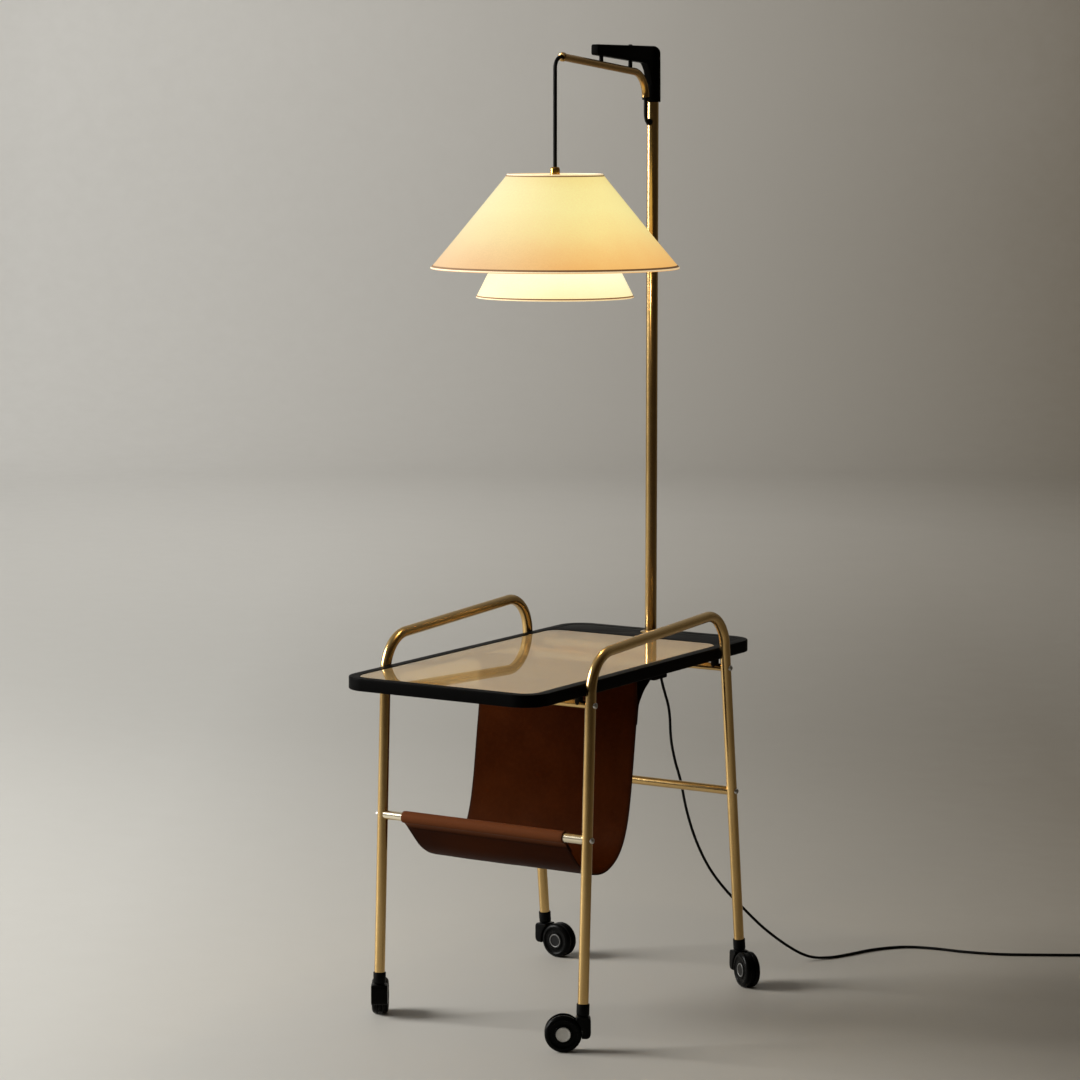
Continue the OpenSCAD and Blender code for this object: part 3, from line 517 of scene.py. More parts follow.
def weave(m, a, b):
    """Two crossing sets of threads from two coordinates in threads."""
    def thread(x):
        s = m.math("SINE", m.math("MULTIPLY", x, 2 * math.pi), 0.0)
        return m.range(s, -1.0, 1.0, 0.0, 1.0)
    wa, wb = thread(a), thread(b)
    return m.math("ADD", m.math("MULTIPLY", wa, 0.5), m.math("MULTIPLY", wb, 0.5))


def shade_material(name, stops, z0, z1, base, strength, painted_one_side=False):
    """Cloth lit from inside: the glow depends on the height on the shade."""
    m = Mat(name)
    tc = m.new("ShaderNodeTexCoord")
    sep = m.new("ShaderNodeSeparateXYZ")
    m.link(tc.outputs["Object"], sep.inputs[0])
    z = m.range(sep.outputs[2], z0, z1, 0.0, 1.0)
    grain = m.noise(m.coords(), 400.0, 3.0, 0.7)
    slub = m.noise(m.coords((160, 160, 1100)), 1.0, 3.0, 0.6)
    slub2 = m.noise(m.coords((1100, 1100, 130)), 1.0, 3.0, 0.6)
    th = m.math("ADD", m.math("MULTIPLY", grain, 0.5), m.math("MULTIPLY", m.math("ADD", slub, slub2), 0.25))
    cloud = m.noise(m.coords(), 9.0, 3.0, 0.5)
    zc = m.math("ADD", z, m.range(cloud, 0.3, 0.7, -0.05, 0.05))
    glow = m.ramp(zc, stops, "LINEAR")
    tone = m.range(th, 0.35, 0.65, 0.935, 1.045)
    if painted_one_side:
        # painted light: the glow is painted stronger on one side, towards +x and +y, while the bulb sits on the shade's
        # axis
        painted_side_glow = m.math("ADD", m.math("MULTIPLY", sep.outputs[0], 0.85), m.math("MULTIPLY", sep.outputs[1], 0.527))
        tone = m.math("MULTIPLY", tone, m.range(painted_side_glow, -0.10, 0.07, 0.86, 1.05))
    n = m.new("ShaderNodeVectorMath", operation="SCALE")
    m.link(glow, n.inputs[0])
    m.link(tone, n.inputs["Scale"])
    m.link(n.outputs[0], m.b.inputs["Emission Color"])
    m.b.inputs["Emission Strength"].default_value = strength
    m.to(m.mix(m.range(th, 0.35, 0.65, 0.0, 1.0), tuple(c * 0.9 for c in base), base), "Base Color")
    m.set(Roughness=0.85, Sheen_Weight=0.25, Sheen_Roughness=0.5, Specular_IOR_Level=0.2)
    m.bump(th, 0.35, 0.0002)
    return m.m


BRASS_Z = brass_material("brass_upright", "z")
BRASS_X = brass_material("brass_cross", "x")
BRASS_Y = brass_material("brass_long", "y")
# a darker brass for the curved tube; on the mouth collar it is painted shade that damps the glint
BRASS_D = brass_material("brass_curved", "y", (0.50, 0.305, 0.108))
# a paler copy of the brass: a painted reflection of the window light on the front bar
BRASS_PAINTED_REFLECTION = brass_material("brass_painted_reflection", "x", (0.86, 0.77, 0.58))
BLACK = black_metal("black_lacquer")
BLACK_S = black_metal("black_steel", 0.0030, 0.48)
HOODM = plastic("caster_black", (0.0024, 0.0024, 0.0023), 0.34, 500.0, spec=0.045)
WHEELM = plastic("wheel_black", (0.0022, 0.0022, 0.0021), 0.28, 420.0, spec=0.055)
TYREM = rubber("tread_black", (0.008, 0.008, 0.008), 0.55)
PLASTICM = plastic("black_plastic", (0.0028, 0.0028, 0.0027), 0.42, spec=0.06)
RUBBERM = rubber("black_rubber")
CORDM = rubber("cord_black", (0.0035, 0.0035, 0.0034), 0.5)
STEELM = steel("screw_steel")
CHROMEM = steel("bright_metal", (0.75, 0.73, 0.68), 0.18)
# light greys for the front-right caster's caps: a painted highlight
GREY_CAP_HIGHLIGHT = plastic("cap_painted_highlight", (0.84, 0.83, 0.80), 0.42, 300.0)
GREYD = plastic("cap_dark", (0.010, 0.010, 0.010), 0.30, 300.0, spec=0.12)
GREYR = plastic("cap_ring", (0.17, 0.17, 0.165), 0.30, 300.0, spec=0.4)
GREY_RING_HIGHLIGHT = plastic("cap_ring_painted_highlight", (0.66, 0.65, 0.62), 0.30, 300.0)
CREAMM = plastic("cream_plastic", (0.72, 0.68, 0.58), 0.3, 200.0)
GLASSM = glass_material("bronze_glass")
# a light colour for the glass's edge faces: a painted highlight
GLASS_EDGE_HIGHLIGHT = plastic("glass_edge_painted_highlight", (0.62, 0.52, 0.34), 0.35, 300.0)
LEATHERM = leather_material("dark_leather")
THREADM = rubber("dark_thread", (0.022, 0.010, 0.006), 0.7)


def finish_node(node, mat):
    ob = NODES[node]
    ob.data.materials.clear()
    ob.data.materials.append(mat)


def piece(ob, body, mat, *nodes, slot=None):
    ob.data.materials.clear()
    ob.data.materials.append(mat)
    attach(ob, body)
    if nodes:
        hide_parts(*nodes)
    return ob


# ------------------------------------------------------------------ sizes, in mm
T = 555.5
FX = 185.0
H = 1506.5
BAR = 320.5


def leg_f(z):
    return -198.0 - 0.0442 * (T - z)


def leg_r(z):
    return 215.4 + 0.111 * (T - z)


# ------------------------------------------------------------------ mains cord
ROUTE = [
    (15.2, 311.4, 516.5), (13.2, 310, 505.5), (12.9, 309.7, 493.5), (14, 310.5, 480.5),
    (16.4, 312.3, 466.5), (20, 315, 450.5), (23.8, 317.8, 432.5), (25.8, 319.4, 412.5),
    (26.6, 320, 390.5), (28.6, 321.4, 367.5), (33.4, 325.2, 338.5), (40.4, 330.6, 307.5),
    (48.6, 336.8, 257.5), (60.6, 346.2, 208.5), (78, 359.2, 162.5), (99, 375.2, 125.5),
    (126, 394.4, 90), (154, 415.6, 55.4), (188, 441.6, 22.9), (214, 463, 6.2),
    (238, 489, 2.4), (256, 527, 2.4), (276, 578, 2.4), (310, 620, 2.4),
    (356, 637, 2.4), (412, 643, 2.4), (470, 659, 2.4), (528, 690, 2.4),
    (586, 724, 2.4)]
COIL = (610.0, 778.0)
PLUG = (560.0, 858.0)
PLUG_A = math.radians(128)


def ease(t):
    t = max(0.0, min(1.0, t))
    return t * t * (3 - 2 * t)


def coil_points():
    """Three turns on the floor from the outside in, two on top from the inside out."""
    radii = [34.6, 30.0, 25.4, 27.7, 32.3]
    heights = [2.5, 2.5, 2.5, 6.5, 6.5]
    a0, zone = -59.0, 70.0
    end = 55.3 + 360.0 * 4
    pts = []
    a = 0.0
    total = end - a0
    while a <= total:
        turn = int(a // 360)
        f = (a - 360 * turn) / 360
        r, z = radii[min(turn, 4)], heights[min(turn, 4)]
        if turn < 4 and f > 1 - zone / 360:
            u = ease((f - 1 + zone / 360) / (zone / 360))
            r += (radii[turn + 1] - r) * u
            z += (heights[turn + 1] - z) * u
            if turn == 3:
                z += 0.75 * math.sin(math.pi * u)
        q = math.radians(a0 + a)
        pts.append(at(COIL[0] + r * math.cos(q), COIL[1] + r * math.sin(q), z))
        a += 7.5
    return pts


def plug_at(d, z):
    return at(PLUG[0] + d * math.cos(PLUG_A), PLUG[1] + d * math.sin(PLUG_A), z)


coil = coil_points()
lead = [at(p[0], p[1], p[2]) for p in ((601, 823, 6), (580, 836, 6.6))] + [plug_at(-16, 7), plug_at(-5, 7)]
route = catmull([at(*p) for p in ROUTE] + coil[1:3], 6)[:-12]
tail = catmull([coil[-3], coil[-2], coil[-1]] + lead, 6)[12:]
cord_path = resample(route + coil[1:-1] + tail, 0.0035)
mains = tube("mains_lead", cord_path, 2.3 * MM, 14, (0, 1, 0))

# moulded plug with grip ribs and a tapered tail
def plug_mesh():
    prof = []
    for i in range(0, 29):
        x = -17 + i * (51 / 28)
        if x < 0:
            f = (x + 17) / 17
            w = d = 3.5 + 2.0 * f
            w += 0.35 * math.sin(f * 6 * 2 * math.pi) if f < 0.95 else 0
        else:
            f = x / 34
            g = ease(min(1, f / 0.22))
            w = 5.6 + (13.0 - 5.6) * g
            d = 5.6 + (6.8 - 5.6) * g
            if 0.32 < f < 0.72:
                w -= 0.9 * (0.5 - 0.5 * math.cos((f - 0.32) / 0.40 * 4 * 2 * math.pi))
            if f > 0.93:
                w -= 1.6 * ((f - 0.93) / 0.07) ** 2
                d -= 1.2 * ((f - 0.93) / 0.07) ** 2
        prof.append((x, w, d))
    verts, faces, n = [], [], 40
    for x, w, d in prof:
        for k in range(n):
            a = 2 * math.pi * k / n
            e = 0.62
            cy = math.copysign(abs(math.cos(a)) ** e, math.cos(a)) * w
            cz = math.copysign(abs(math.sin(a)) ** e, math.sin(a)) * d
            if x < 0:
                cy, cz = math.cos(a) * w, math.sin(a) * w
            verts.append(at(x, cy, cz))
    m = len(prof)
    for i in range(m - 1):
        for k in range(n):
            l = (k + 1) % n
            faces.append([i * n + k, i * n + l, (i + 1) * n + l, (i + 1) * n + k])
    faces.append(list(range(n))[::-1])
    faces.append([(m - 1) * n + k for k in range(n)])
    ob = add_mesh("plug_moulding", verts, faces, 40)
    return place(ob, Matrix.Translation(at(PLUG[0], PLUG[1], 7)) @ Matrix.Rotation(PLUG_A, 4, "Z"))


plug = plug_mesh()
pins = []
for s in (-9.5, 9.5):
    pins.append(lathe("pin", rounded([(0, 0), (2.0 * MM, 0), (2.0 * MM, 19.4 * MM), (1.2 * MM, 20 * MM), (0, 20 * MM)], 0.0008, 4), 32,
                      at(34, s, 0), (1, 0, 0)))
pins = place(join("plug_contact_pins", pins), Matrix.Translation(at(PLUG[0], PLUG[1], 7)) @ Matrix.Rotation(PLUG_A, 4, "Z"))
smooth(pins, 40)
sleeves = []
for s in (-9.5, 9.5):
    sleeves.append(lathe("sleeve", [(2.02 * MM, -0.5 * MM), (2.3 * MM, -0.5 * MM), (2.3 * MM, 9.6 * MM), (2.02 * MM, 10 * MM)], 32, at(34, s, 0), (1, 0, 0), True))
sleeves = place(join("plug_pin_sleeves", sleeves), Matrix.Translation(at(PLUG[0], PLUG[1], 7)) @ Matrix.Rotation(PLUG_A, 4, "Z"))
smooth(sleeves, 40)

# hook and loop strap round the coil
def strap():
    ro, ri, top, bot = 38.0, 22.2, 9.6, 0.25
    loop = rounded([(ri, bot), (ro, bot), (ro, top), (ri, top)], 3.4, 6, True)
    verts, faces = [], []
    n = len(loop)
    wd = 4.2
    cx, cz = (ri + ro) / 2, (top + bot) / 2
    rings = []
    for y in (-wd, -wd + 0.4, wd - 0.4, wd):
        rings.append((y, 0.0 if abs(y) < wd else 0.12))
    for inner in (0, 1):
        for y, shrink in (rings if not inner else rings[::-1]):
            for x, z in loop:
                dx, dz = x - cx, z - cz
                k = (0.8 if inner else 0.0) + (-shrink if inner else shrink)
                fx = 1 - k / abs(ro - ri) * 2
                fz = 1 - k / abs(top - bot) * 2
                verts.append(at(cx + dx * fx, y, cz + dz * fz))
    m = len(rings) * 2
    for i in range(m):
        j = (i + 1) % m
        for k in range(n):
            l = (k + 1) % n
            faces.append([i * n + k, j * n + k, j * n + l, i * n + l])
    ob = add_mesh("coil_strap", verts, faces, 40)
    return place(ob, Matrix.Translation(at(COIL[0], COIL[1], 0)) @ Matrix.Rotation(math.radians(215), 4, "Z"))


tie = strap()
piece(mains, "base", CORDM, "mains_cord", "cord_coil", slot="black_cord")
piece(plug, "base", PLASTICM, "plug_body", slot="black_plastic")
piece(pins, "base", CHROMEM, "plug_pins", slot="bright_metal")
piece(sleeves, "base", PLASTICM, slot="black_plastic")
piece(tie, "base", RUBBERM, "coil_tie", slot="black_plastic")

# ------------------------------------------------------------------ side frames and bars
HF = (leg_f(T + 41), T + 41)
HZ = T + 41 + 0.046 * (215.4 + 198.0) - 0.3
HR = (leg_r(HZ), HZ)
for side, name in ((-1, "left"), (1, "right")):
    pts = [at(side * FX, leg_f(59), 59), at(side * FX, HF[0], HF[1]), at(side * FX, HR[0], HR[1]), at(side * FX, leg_r(59), 59)]
    path = bent_path(pts, 58 * MM, 28)
    ob = tube(name + "_frame_tube", path, 8.25 * MM, 48, (1, 0, 0))
    piece(ob, "base", BRASS_Z, name + "_side_frame", slot="antique_brass")


def cross(name, y, z, d, mat, node, slot_="antique_brass"):
    x = 182.0
    path = [at(-x + 2 * x * i / 24, y, z) for i in range(25)]
    ob = tube(name, path, d / 2 * MM, 40, (0, 1, 0))
    return piece(ob, "base", mat, node, slot=slot_)


# the front bar's paler brass is a painted reflection of the window light
cross("front_bar", leg_f(BAR), BAR, 14, BRASS_PAINTED_REFLECTION, "front_sling_bar")
cross("rear_bar", leg_r(BAR), BAR, 14, BRASS_X, "rear_stretcher")
cross("front_rail", leg_f(T - 32), T - 32, 12, BRASS_X, "front_top_rail")
cross("rear_rail", leg_r(T - 32), T - 32, 12, BRASS_X, "rear_top_rail")

# button-head screws with a hex socket
screws = []
for s in (-1, 1):
    for p in ((leg_f(T - 32), T - 32), (leg_r(T - 32), T - 32), (leg_f(BAR), BAR), (leg_r(BAR), BAR)):
        o = at(s * (FX + 8.0), p[0], p[1])
        prof = [(0, -1.5), (4.5, -1.5), (4.6, 0.6), (4.35, 1.5), (3.8, 2.3), (3.0, 2.9), (2.2, 3.25), (1.75, 3.35)]
        head = lathe("head", [(r * MM, h * MM) for r, h in prof], 40, o, (s, 0, 0))
        # hexagonal recess
        vs, fs = [], []
        for h, r in ((3.35, 1.75), (3.3, 1.55), (1.6, 1.5)):
            for k in range(40):
                a = 2 * math.pi * k / 40
                rr = r if h > 3.34 else r * math.cos(math.pi / 6) / math.cos((a % (math.pi / 3)) - math.pi / 6)
                vs.append(Vector((h * MM, rr * math.cos(a) * MM, rr * math.sin(a) * MM)))
        for i in range(2):
            for k in range(40):
                l = (k + 1) % 40
                fs.append([i * 40 + k, i * 40 + l, (i + 1) * 40 + l, (i + 1) * 40 + k])
        fs.append([80 + k for k in range(40)])
        rec = add_mesh("recess", vs, fs, 30)
        rec.data.transform(Matrix.Translation(o) @ Matrix.Diagonal((s, 1, 1, 1)))
        screws += [head, rec]
ob = join("frame_screw_heads", screws)
smooth(ob, 38)
piece(ob, "base", STEELM, "frame_screws", slot="screw_steel")

# ------------------------------------------------------------------ table top
W, L, R = 350.0, 682.0, 42.0
BAND, REAR, LIP = 17.5, 93.0, 8.0
IN_W = W - 2 * BAND
Y0, Y1 = -L / 2 + BAND, L / 2 - REAR
IN_L, CY = Y1 - Y0, (Y0 + Y1) / 2


def mm(pts):
    return [(x * MM, y * MM) for x, y in pts]


rim_in = rrect_pts(IN_W, L - 2 * BAND, R - BAND)
rim = plate("rim", [mm(rrect_pts(W, L, R, steps=20)), mm(rim_in)], (T - 19) * MM, T * MM, 1.6 * MM, 4)
front_hole = rrect_pts(IN_W, IN_L, R - BAND, 0, CY)
# the rear panel, with rounded inner corners where it meets the glass
rc = R - BAND
py1 = L / 2 - BAND
panel = [(-IN_W / 2 - 1.2, Y1 - rc)]
for k in range(13):
    a = math.radians(180 - 90 * k / 12)
    panel.append((-IN_W / 2 + rc + rc * math.cos(a), Y1 - rc + rc * math.sin(a)))
for k in range(13):
    a = math.radians(90 - 90 * k / 12)
    panel.append((IN_W / 2 - rc + rc * math.cos(a), Y1 - rc + rc * math.sin(a)))
panel.append((IN_W / 2 + 1.2, Y1 - rc))
panel += [(IN_W / 2 + 1.2, py1 - rc)]
for k in range(13):
    a = math.radians(0 + 90 * k / 12)
    panel.append((IN_W / 2 - rc + (rc + 1.2) * math.cos(a), py1 - rc + (rc + 1.2) * math.sin(a)))
for k in range(13):
    a = math.radians(90 + 90 * k / 12)
    panel.append((-IN_W / 2 + rc + (rc + 1.2) * math.cos(a), py1 - rc + (rc + 1.2) * math.sin(a)))
hole = [(12.1 * math.cos(2 * math.pi * k / 48), 300 + 12.1 * math.sin(2 * math.pi * k / 48)) for k in range(48)]
back = plate("back", [mm(panel), mm(hole)], (T - 4) * MM, (T - 0.35) * MM, 0.5 * MM, 3)
web = plate("web", [mm([(-IN_W / 2, Y1), (IN_W / 2, Y1), (IN_W / 2, Y1 + 4), (-IN_W / 2, Y1 + 4)])], (T - 19) * MM, (T - 3.9) * MM, 0.4 * MM, 2)
seat_z = T - 0.5 - 5.5 - 0.5
lip = plate("lip", [mm(rrect_pts(IN_W + 2, IN_L + 2, R - BAND + 1, 0, CY)), mm(rrect_pts(IN_W - 2 * LIP, IN_L - 2 * LIP, R - BAND - LIP, 0, CY))],
            (seat_z - 3) * MM, seat_z * MM, 0.5 * MM, 2)
ob = join("top_frame", [rim, back, web, lip])
smooth(ob, 32)
piece(ob, "base", BLACK, "tabletop_frame", slot="black_lacquer")
ob = plate("glass_pane", [mm(rrect_pts(IN_W - 0.8, IN_L - 0.8, R - BAND - 0.4, 0, CY, 16))], (seat_z + 0.5) * MM, (T - 0.5) * MM, 0.9 * MM, 3, "XY", 8)
piece(ob, "base", GLASSM, "tabletop_glass", slot="bronze_glass")
# the pane's ground edge faces get a light colour, a painted highlight along the edge of the pane
ob.data.materials.append(GLASS_EDGE_HIGHLIGHT)
for f in ob.data.polygons:
    f.material_index = 1 if abs(f.normal.z) < 0.97 else 0
finish_node("glass_gasket", RUBBERM)
finish_node("tabletop_spacers", RUBBERM)
finish_node("sling_hanger_bar", BLACK_S)
finish_node("tabletop_screws", STEELM)

# ------------------------------------------------------------------ socket and outlet
prof = [(9.57, -64), (12.0, -64), (12.0, 0), (17.0, 0.0), (17.0, 1.3), (16.2, 2.3), (14.8, 2.9), (12.0, 3.0), (10.6, 3.0), (9.57, 2.0)]
ob = lathe("pole_socket", [(r * MM, h * MM) for r, h in prof], 64, at(0, 300, T), (0, 0, 1), True, 30)
piece(ob, "base", BRASS_Z, "mast_socket", slot="antique_brass")
finish_node("socket_nut", BLACK_S)
finish_node("socket_end_plug", PLASTICM)
finish_node("cord_outlet", PLASTICM)
# ribbed strain relief
rd = Vector((-6.4, -4.8, -21)).normalized()
prof = [(2.33, -1.0), (5.0, -1.0), (5.0, 2.6), (4.3, 3.0)]
for k in range(7):
    z = 3.6 + k * 2.6
    r = 4.25 - 0.17 * k
    prof += [(r, z), (r, z + 1.5), (r - 0.75, z + 1.75), (r - 0.75, z + 2.45)]
prof += [(3.0, 22.0), (2.9, 22.6), (2.33, 22.6)]
ob = lathe("cord_relief", [(r * MM, h * MM) for r, h in prof], 40, at(21.6, 316.2, T - 18), rd, True, 40)
piece(ob, "base", RUBBERM, "cord_strain_relief", slot="black_rubber")

# ------------------------------------------------------------------ pole and head
pole_pts = [at(0, 300, T - 58.9 + (H - 12.2 - T + 58.9) * i / 60) for i in range(61)]
ob = tube("pole_tube", pole_pts, 9.5 * MM, 64, (1, 0, 0))
piece(ob, "mast", BRASS_Z, "pole", slot="antique_brass")
finish_node("pole_wire", CORDM)

GZ = H - 121
prof = [(3.25, -2.8), (4.6, -2.8), (4.6, -0.9), (5.1, -0.7), (5.35, 0.6), (5.4, 2.0), (5.25, 3.4), (4.85, 4.6), (4.4, 5.3), (3.9, 5.6), (3.45, 5.3), (3.25, 4.6)]
ob = lathe("wire_grommet", [(r * MM, h * MM) for r, h in prof], 40, at(0, 300 - 9.5, GZ), (0, -1, 0), True, 40)
piece(ob, "mast", RUBBERM, "pole_grommet", slot="black_rubber")

AE = 118.0
prof = [(AE, H - 14), (AE + 1.6, H - 16.6), (AE + 152, H - 27.4), (274.5, H - 31), (281, H - 40), (288, H - 62), (298, H - 72), (309.2, H - 72)]
for a in range(0, 91, 10):
    prof.append((309.2 - 14 + 14 * math.cos(math.radians(a)), H - 14 + 14 * math.sin(math.radians(a))))
prof += [(AE + 2.4, H), (AE, H - 2.4)]
arm = plate("arm", [mm(rounded(prof, 2.0, 4, True))], -7.15 * MM, 7.15 * MM, 2.2 * MM, 5, "YZ", 30)
sl = [(9.6, -89), (12.1, -89), (12.5, -88.2), (12.4, -60), (12.0, -12)]
for a in range(0, 91, 10):
    sl.append((0.5 + 11.5 * math.cos(math.radians(a)), -11.5 + 11.5 * math.sin(math.radians(a))))
sl += [(0, 0)]
sleeve = lathe("sleeve", [(r * MM, h * MM) for r, h in sl], 64, at(0, 300, H), (0, 0, 1))
ob = join("pole_bracket", [arm, sleeve])
smooth(ob, 32)
piece(ob, "mast", BLACK, "head_bracket", slot="black_lacquer")

PY = (138.0, 228.0)
TP = [at(0, 22.5, H - 20.9), at(0, 277, H - 44.3), at(0, 277, H - 82)]


def tube_z(y):
    return H - 20.9 - (y - 22.5) * 0.0919


posts = []
for y in PY:
    zt = H - 15 - (y - AE) * 0.0718
    zb = tube_z(y)
    prof = [(0, zb + 3.0), (3.3, zb + 4.6), (3.3, zt + 0.6), (0, zt + 0.6)]
    posts.append(lathe("post", [(r * MM, z * MM) for r, z in prof], 40, at(0, y, 0)))
ob = join("tube_posts", posts)
smooth(ob, 38)
piece(ob, "mast", BLACK_S, "bracket_posts", slot="black_steel")

heads = []
for y in PY[1:]:
    prof = [(3.4, -1.0), (3.4, 0.45), (3.1, 0.95), (2.4, 1.35), (1.4, 1.55), (0, 1.6)]
    heads.append(lathe("h", [(r * MM, z * MM) for r, z in prof], 40, at(0, y, H)))
prof = [(2.0, 2.0), (2.0, 12.9 - 9.5), (1.6, 3.6), (1.0, 3.6), (1.0, 2.6), (0, 2.6)]
heads.append(lathe("g", [(r * MM, z * MM) for r, z in prof], 32, at(0, 309.5, H - 75), (0, 1, 0)))
ob = join("bracket_screw_heads", heads)
smooth(ob, 38)
piece(ob, "mast", BLACK_S, "bracket_screws", slot="screw_steel")

path = bent_path(TP, 40.5 * MM, 24)
ob = tube("curved_cord_tube", path, 6.0 * MM, 48, (1, 0, 0))
piece(ob, "mast", BRASS_D, "cord_tube", slot="antique_brass")

td = (TP[1] - TP[0]).normalized()
prof = [(3.1, -3.0), (5.8, -3.0), (6.7, -2.5), (7.1, -1.7), (7.1, 1.8), (6.7, 2.5), (6.1, 2.7), (6.02, 6.0), (3.1, 6.0)]
mouth = lathe("mouth_collar", [(r * MM, z * MM) for r, z in prof], 48, TP[0], td, True, 40)
prof = [(3.15, -4.0), (4.1, -4.0), (5.0, -3.5), (5.7, -2.4), (6.02, -0.8), (6.05, 0.6), (3.15, 0.6)]
low = lathe("low_bush", [(r * MM, z * MM) for r, z in prof], 48, TP[2], (0, 0, 1), True, 40)
# the collar takes the darker brass as painted shade, which damps its glint
piece(mouth, "mast", BRASS_D, slot="antique_brass")
piece(low, "mast", RUBBERM, "tube_bushings", slot="black_rubber")

# link cord from the curved tube into the pole
lk = [at(0, 277, H - 82), at(0, 277, H - 90), at(0, 277.0, H - 97), at(0, 277.1, H - 103), at(0, 277.4, H - 109),
      at(0, 278.3, H - 114.4), at(0, 280.4, H - 118.7), at(0, 283.4, H - 120.7), at(0, 287, H - 121), at(0, 293, H - 121)]
link_path = resample(catmull(lk, 6), 0.0016)
link = tube("link_lead", link_path, 3.0 * MM, 24, (1, 0, 0))
piece(link, "mast", CORDM, "link_cord", slot="black_cord")

# ------------------------------------------------------------------ pendant cord
CAP_Z = H - 189
pc = [TP[0] + td * 6 * MM, TP[0] + td * 1 * MM, TP[0] - td * 2.0 * MM]
BR = 18.4
for a in range(78, 181, 6):
    q = math.radians(a)
    pc.append(at(0, BR + BR * math.cos(q), H - 39 + BR * math.sin(q)))
for z in (1462.5, 1454.5, 1441.5, 1423.5, 1401.5, 1377.5, 1351.5, 1331.5, 1317.5, 1312.5):
    pc.append(at(0, 0, z))
pend_path = resample(catmull(pc, 4), 0.003)
pend = tube("pendant_lead", pend_path, 3.0 * MM, 24, (1, 0, 0))
pend.data.materials.append(CORDM)
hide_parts("pendant_cord", "pendant_cord_top")
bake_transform(pend)

# ------------------------------------------------------------------ cord grip and lampholder
prof = [(3.05, 0), (5.4, 0), (6.0, -0.5), (7.3, -2.2), (7.45, -2.8), (7.45, -11.4), (8.3, -11.8), (8.8, -12.2), (8.8, -13.2), (8.4, -13.6), (4.0, -13.6), (4.0, -7.4), (3.05, -7.4)]
ob = lathe("cord_grip_cap", [(r * MM, z * MM) for r, z in prof], 56, at(0, 0, CAP_Z), (0, 0, 1), True, 34)
# the cord grip's brass is painted more orange: painted warm light from the bulb and the glowing shade below it
piece(ob, "pendant", brass_material("brass_cap_painted_warm_light", "z", (0.66, 0.36, 0.085)), "cord_grip", slot="antique_brass")
finish_node("lampholder", PLASTICM)
finish_node("lampholder_ring", PLASTICM)
finish_node("switch_bar", CREAMM)
finish_node("bulb_cap", CHROMEM)

# bulb: a warm opal globe that glows
bm_ = Mat("bulb_glow")
bm_.set(Base_Color=(1.0, 0.93, 0.8, 1), Roughness=0.3)
bn = bm_.noise(bm_.coords(), 25.0, 2.0)
bm_.link(bm_.ramp(bn, [(0.3, (1.0, 0.80, 0.50)), (0.7, (1.0, 0.86, 0.60))]), bm_.b.inputs["Emission Color"])
bm_.b.inputs["Emission Strength"].default_value = 9.0
BZ = H - 200 - 4 - 128
prof = []
for a in range(-90, 61, 6):
    prof.append((27.5 * math.cos(math.radians(a)), 27.5 * math.sin(math.radians(a))))
prof += [(12.9, 27.0), (12.4, 33), (12.2, 41)]
ob = lathe("bulb_globe", [(max(r, 0) * MM if r > 1e-4 else 0, z * MM) for r, z in prof], 64, at(0, 0, BZ))
piece(ob, "pendant", bm_.m, "bulb_glass", slot="opal_glass")

# ------------------------------------------------------------------ shades
OUT = dict(d0=385.0, d1=147.0, z0=H - 344, h=144.0)
INN = dict(d0=244.0, d1=144.0, z0=H - 389, h=103.0)
ST = 1.6


def shade_mesh(name, s, rows=36, n=180, hem=0.0):
    """A cone of cloth with a little unevenness between the wires, open at both ends."""
    verts, faces = [], []
    k = (s["d0"] - s["d1"]) / 2 / s["h"]
    ny, nz = 1 / math.sqrt(1 + k * k), k / math.sqrt(1 + k * k)
    rings = []
    for inner in (0, 1):
        seq = range(rows + 1) if not inner else range(rows, -1, -1)
        for i in seq:
            f = i / rows
            ring = []
            for j in range(n):
                a = 2 * math.pi * j / n
                r = s["d0"] / 2 - k * s["h"] * f
                sag = -0.55 * math.sin(math.pi * f)
                wob = 0.25 * noise.noise(Vector((math.cos(a) * 2.2, math.sin(a) * 2.2, f * 2.0 + s["d0"] * 0.01))) * math.sin(math.pi * f)
                off = sag + wob - (ST * ny if inner else 0.0)
                ring.append(len(verts))
                verts.append(at((r + off * ny) * math.cos(a), (r + off * ny) * math.sin(a), s["z0"] + s["h"] * f + off * nz * (1 if not inner else 1)))
            rings.append(ring)
    m = len(rings)
    for i in range(m):
        a, b = rings[i], rings[(i + 1) % m]
        for j in range(n):
            l = (j + 1) % n
            faces.append([a[j], a[l], b[l], b[j]])
    return add_mesh(name, verts, faces, 40)


def shade_inside(ob, s):
    """Second slot for the faces that look inwards."""
    for p in ob.data.polygons:
        c = p.center
        rad = Vector((c.x, c.y, 0)).normalized()
        if p.normal.dot(rad) < 0:
            p.material_index = 1


def hem_band(name, s, z, width, lift, n=180, outside=True):
    """A narrow folded tape on the cloth."""
    k = (s["d0"] - s["d1"]) / 2 / s["h"]
    ny, nz = 1 / math.sqrt(1 + k * k), k / math.sqrt(1 + k * k)
    sec = []
    for t, o in ((0, 0.02), (0, lift), (0.15, lift + 0.1), (0.85, lift + 0.1), (1, lift), (1, 0.02)):
        dz = z + width * t
        r = s["d0"] / 2 - k * (dz)
        sec.append((r + o * ny, s["z0"] + dz + o * nz))
    return lathe(name, [(r * MM, zz * MM) for r, zz in sec], n, (0, 0, 0), (0, 0, 1), True, 40)


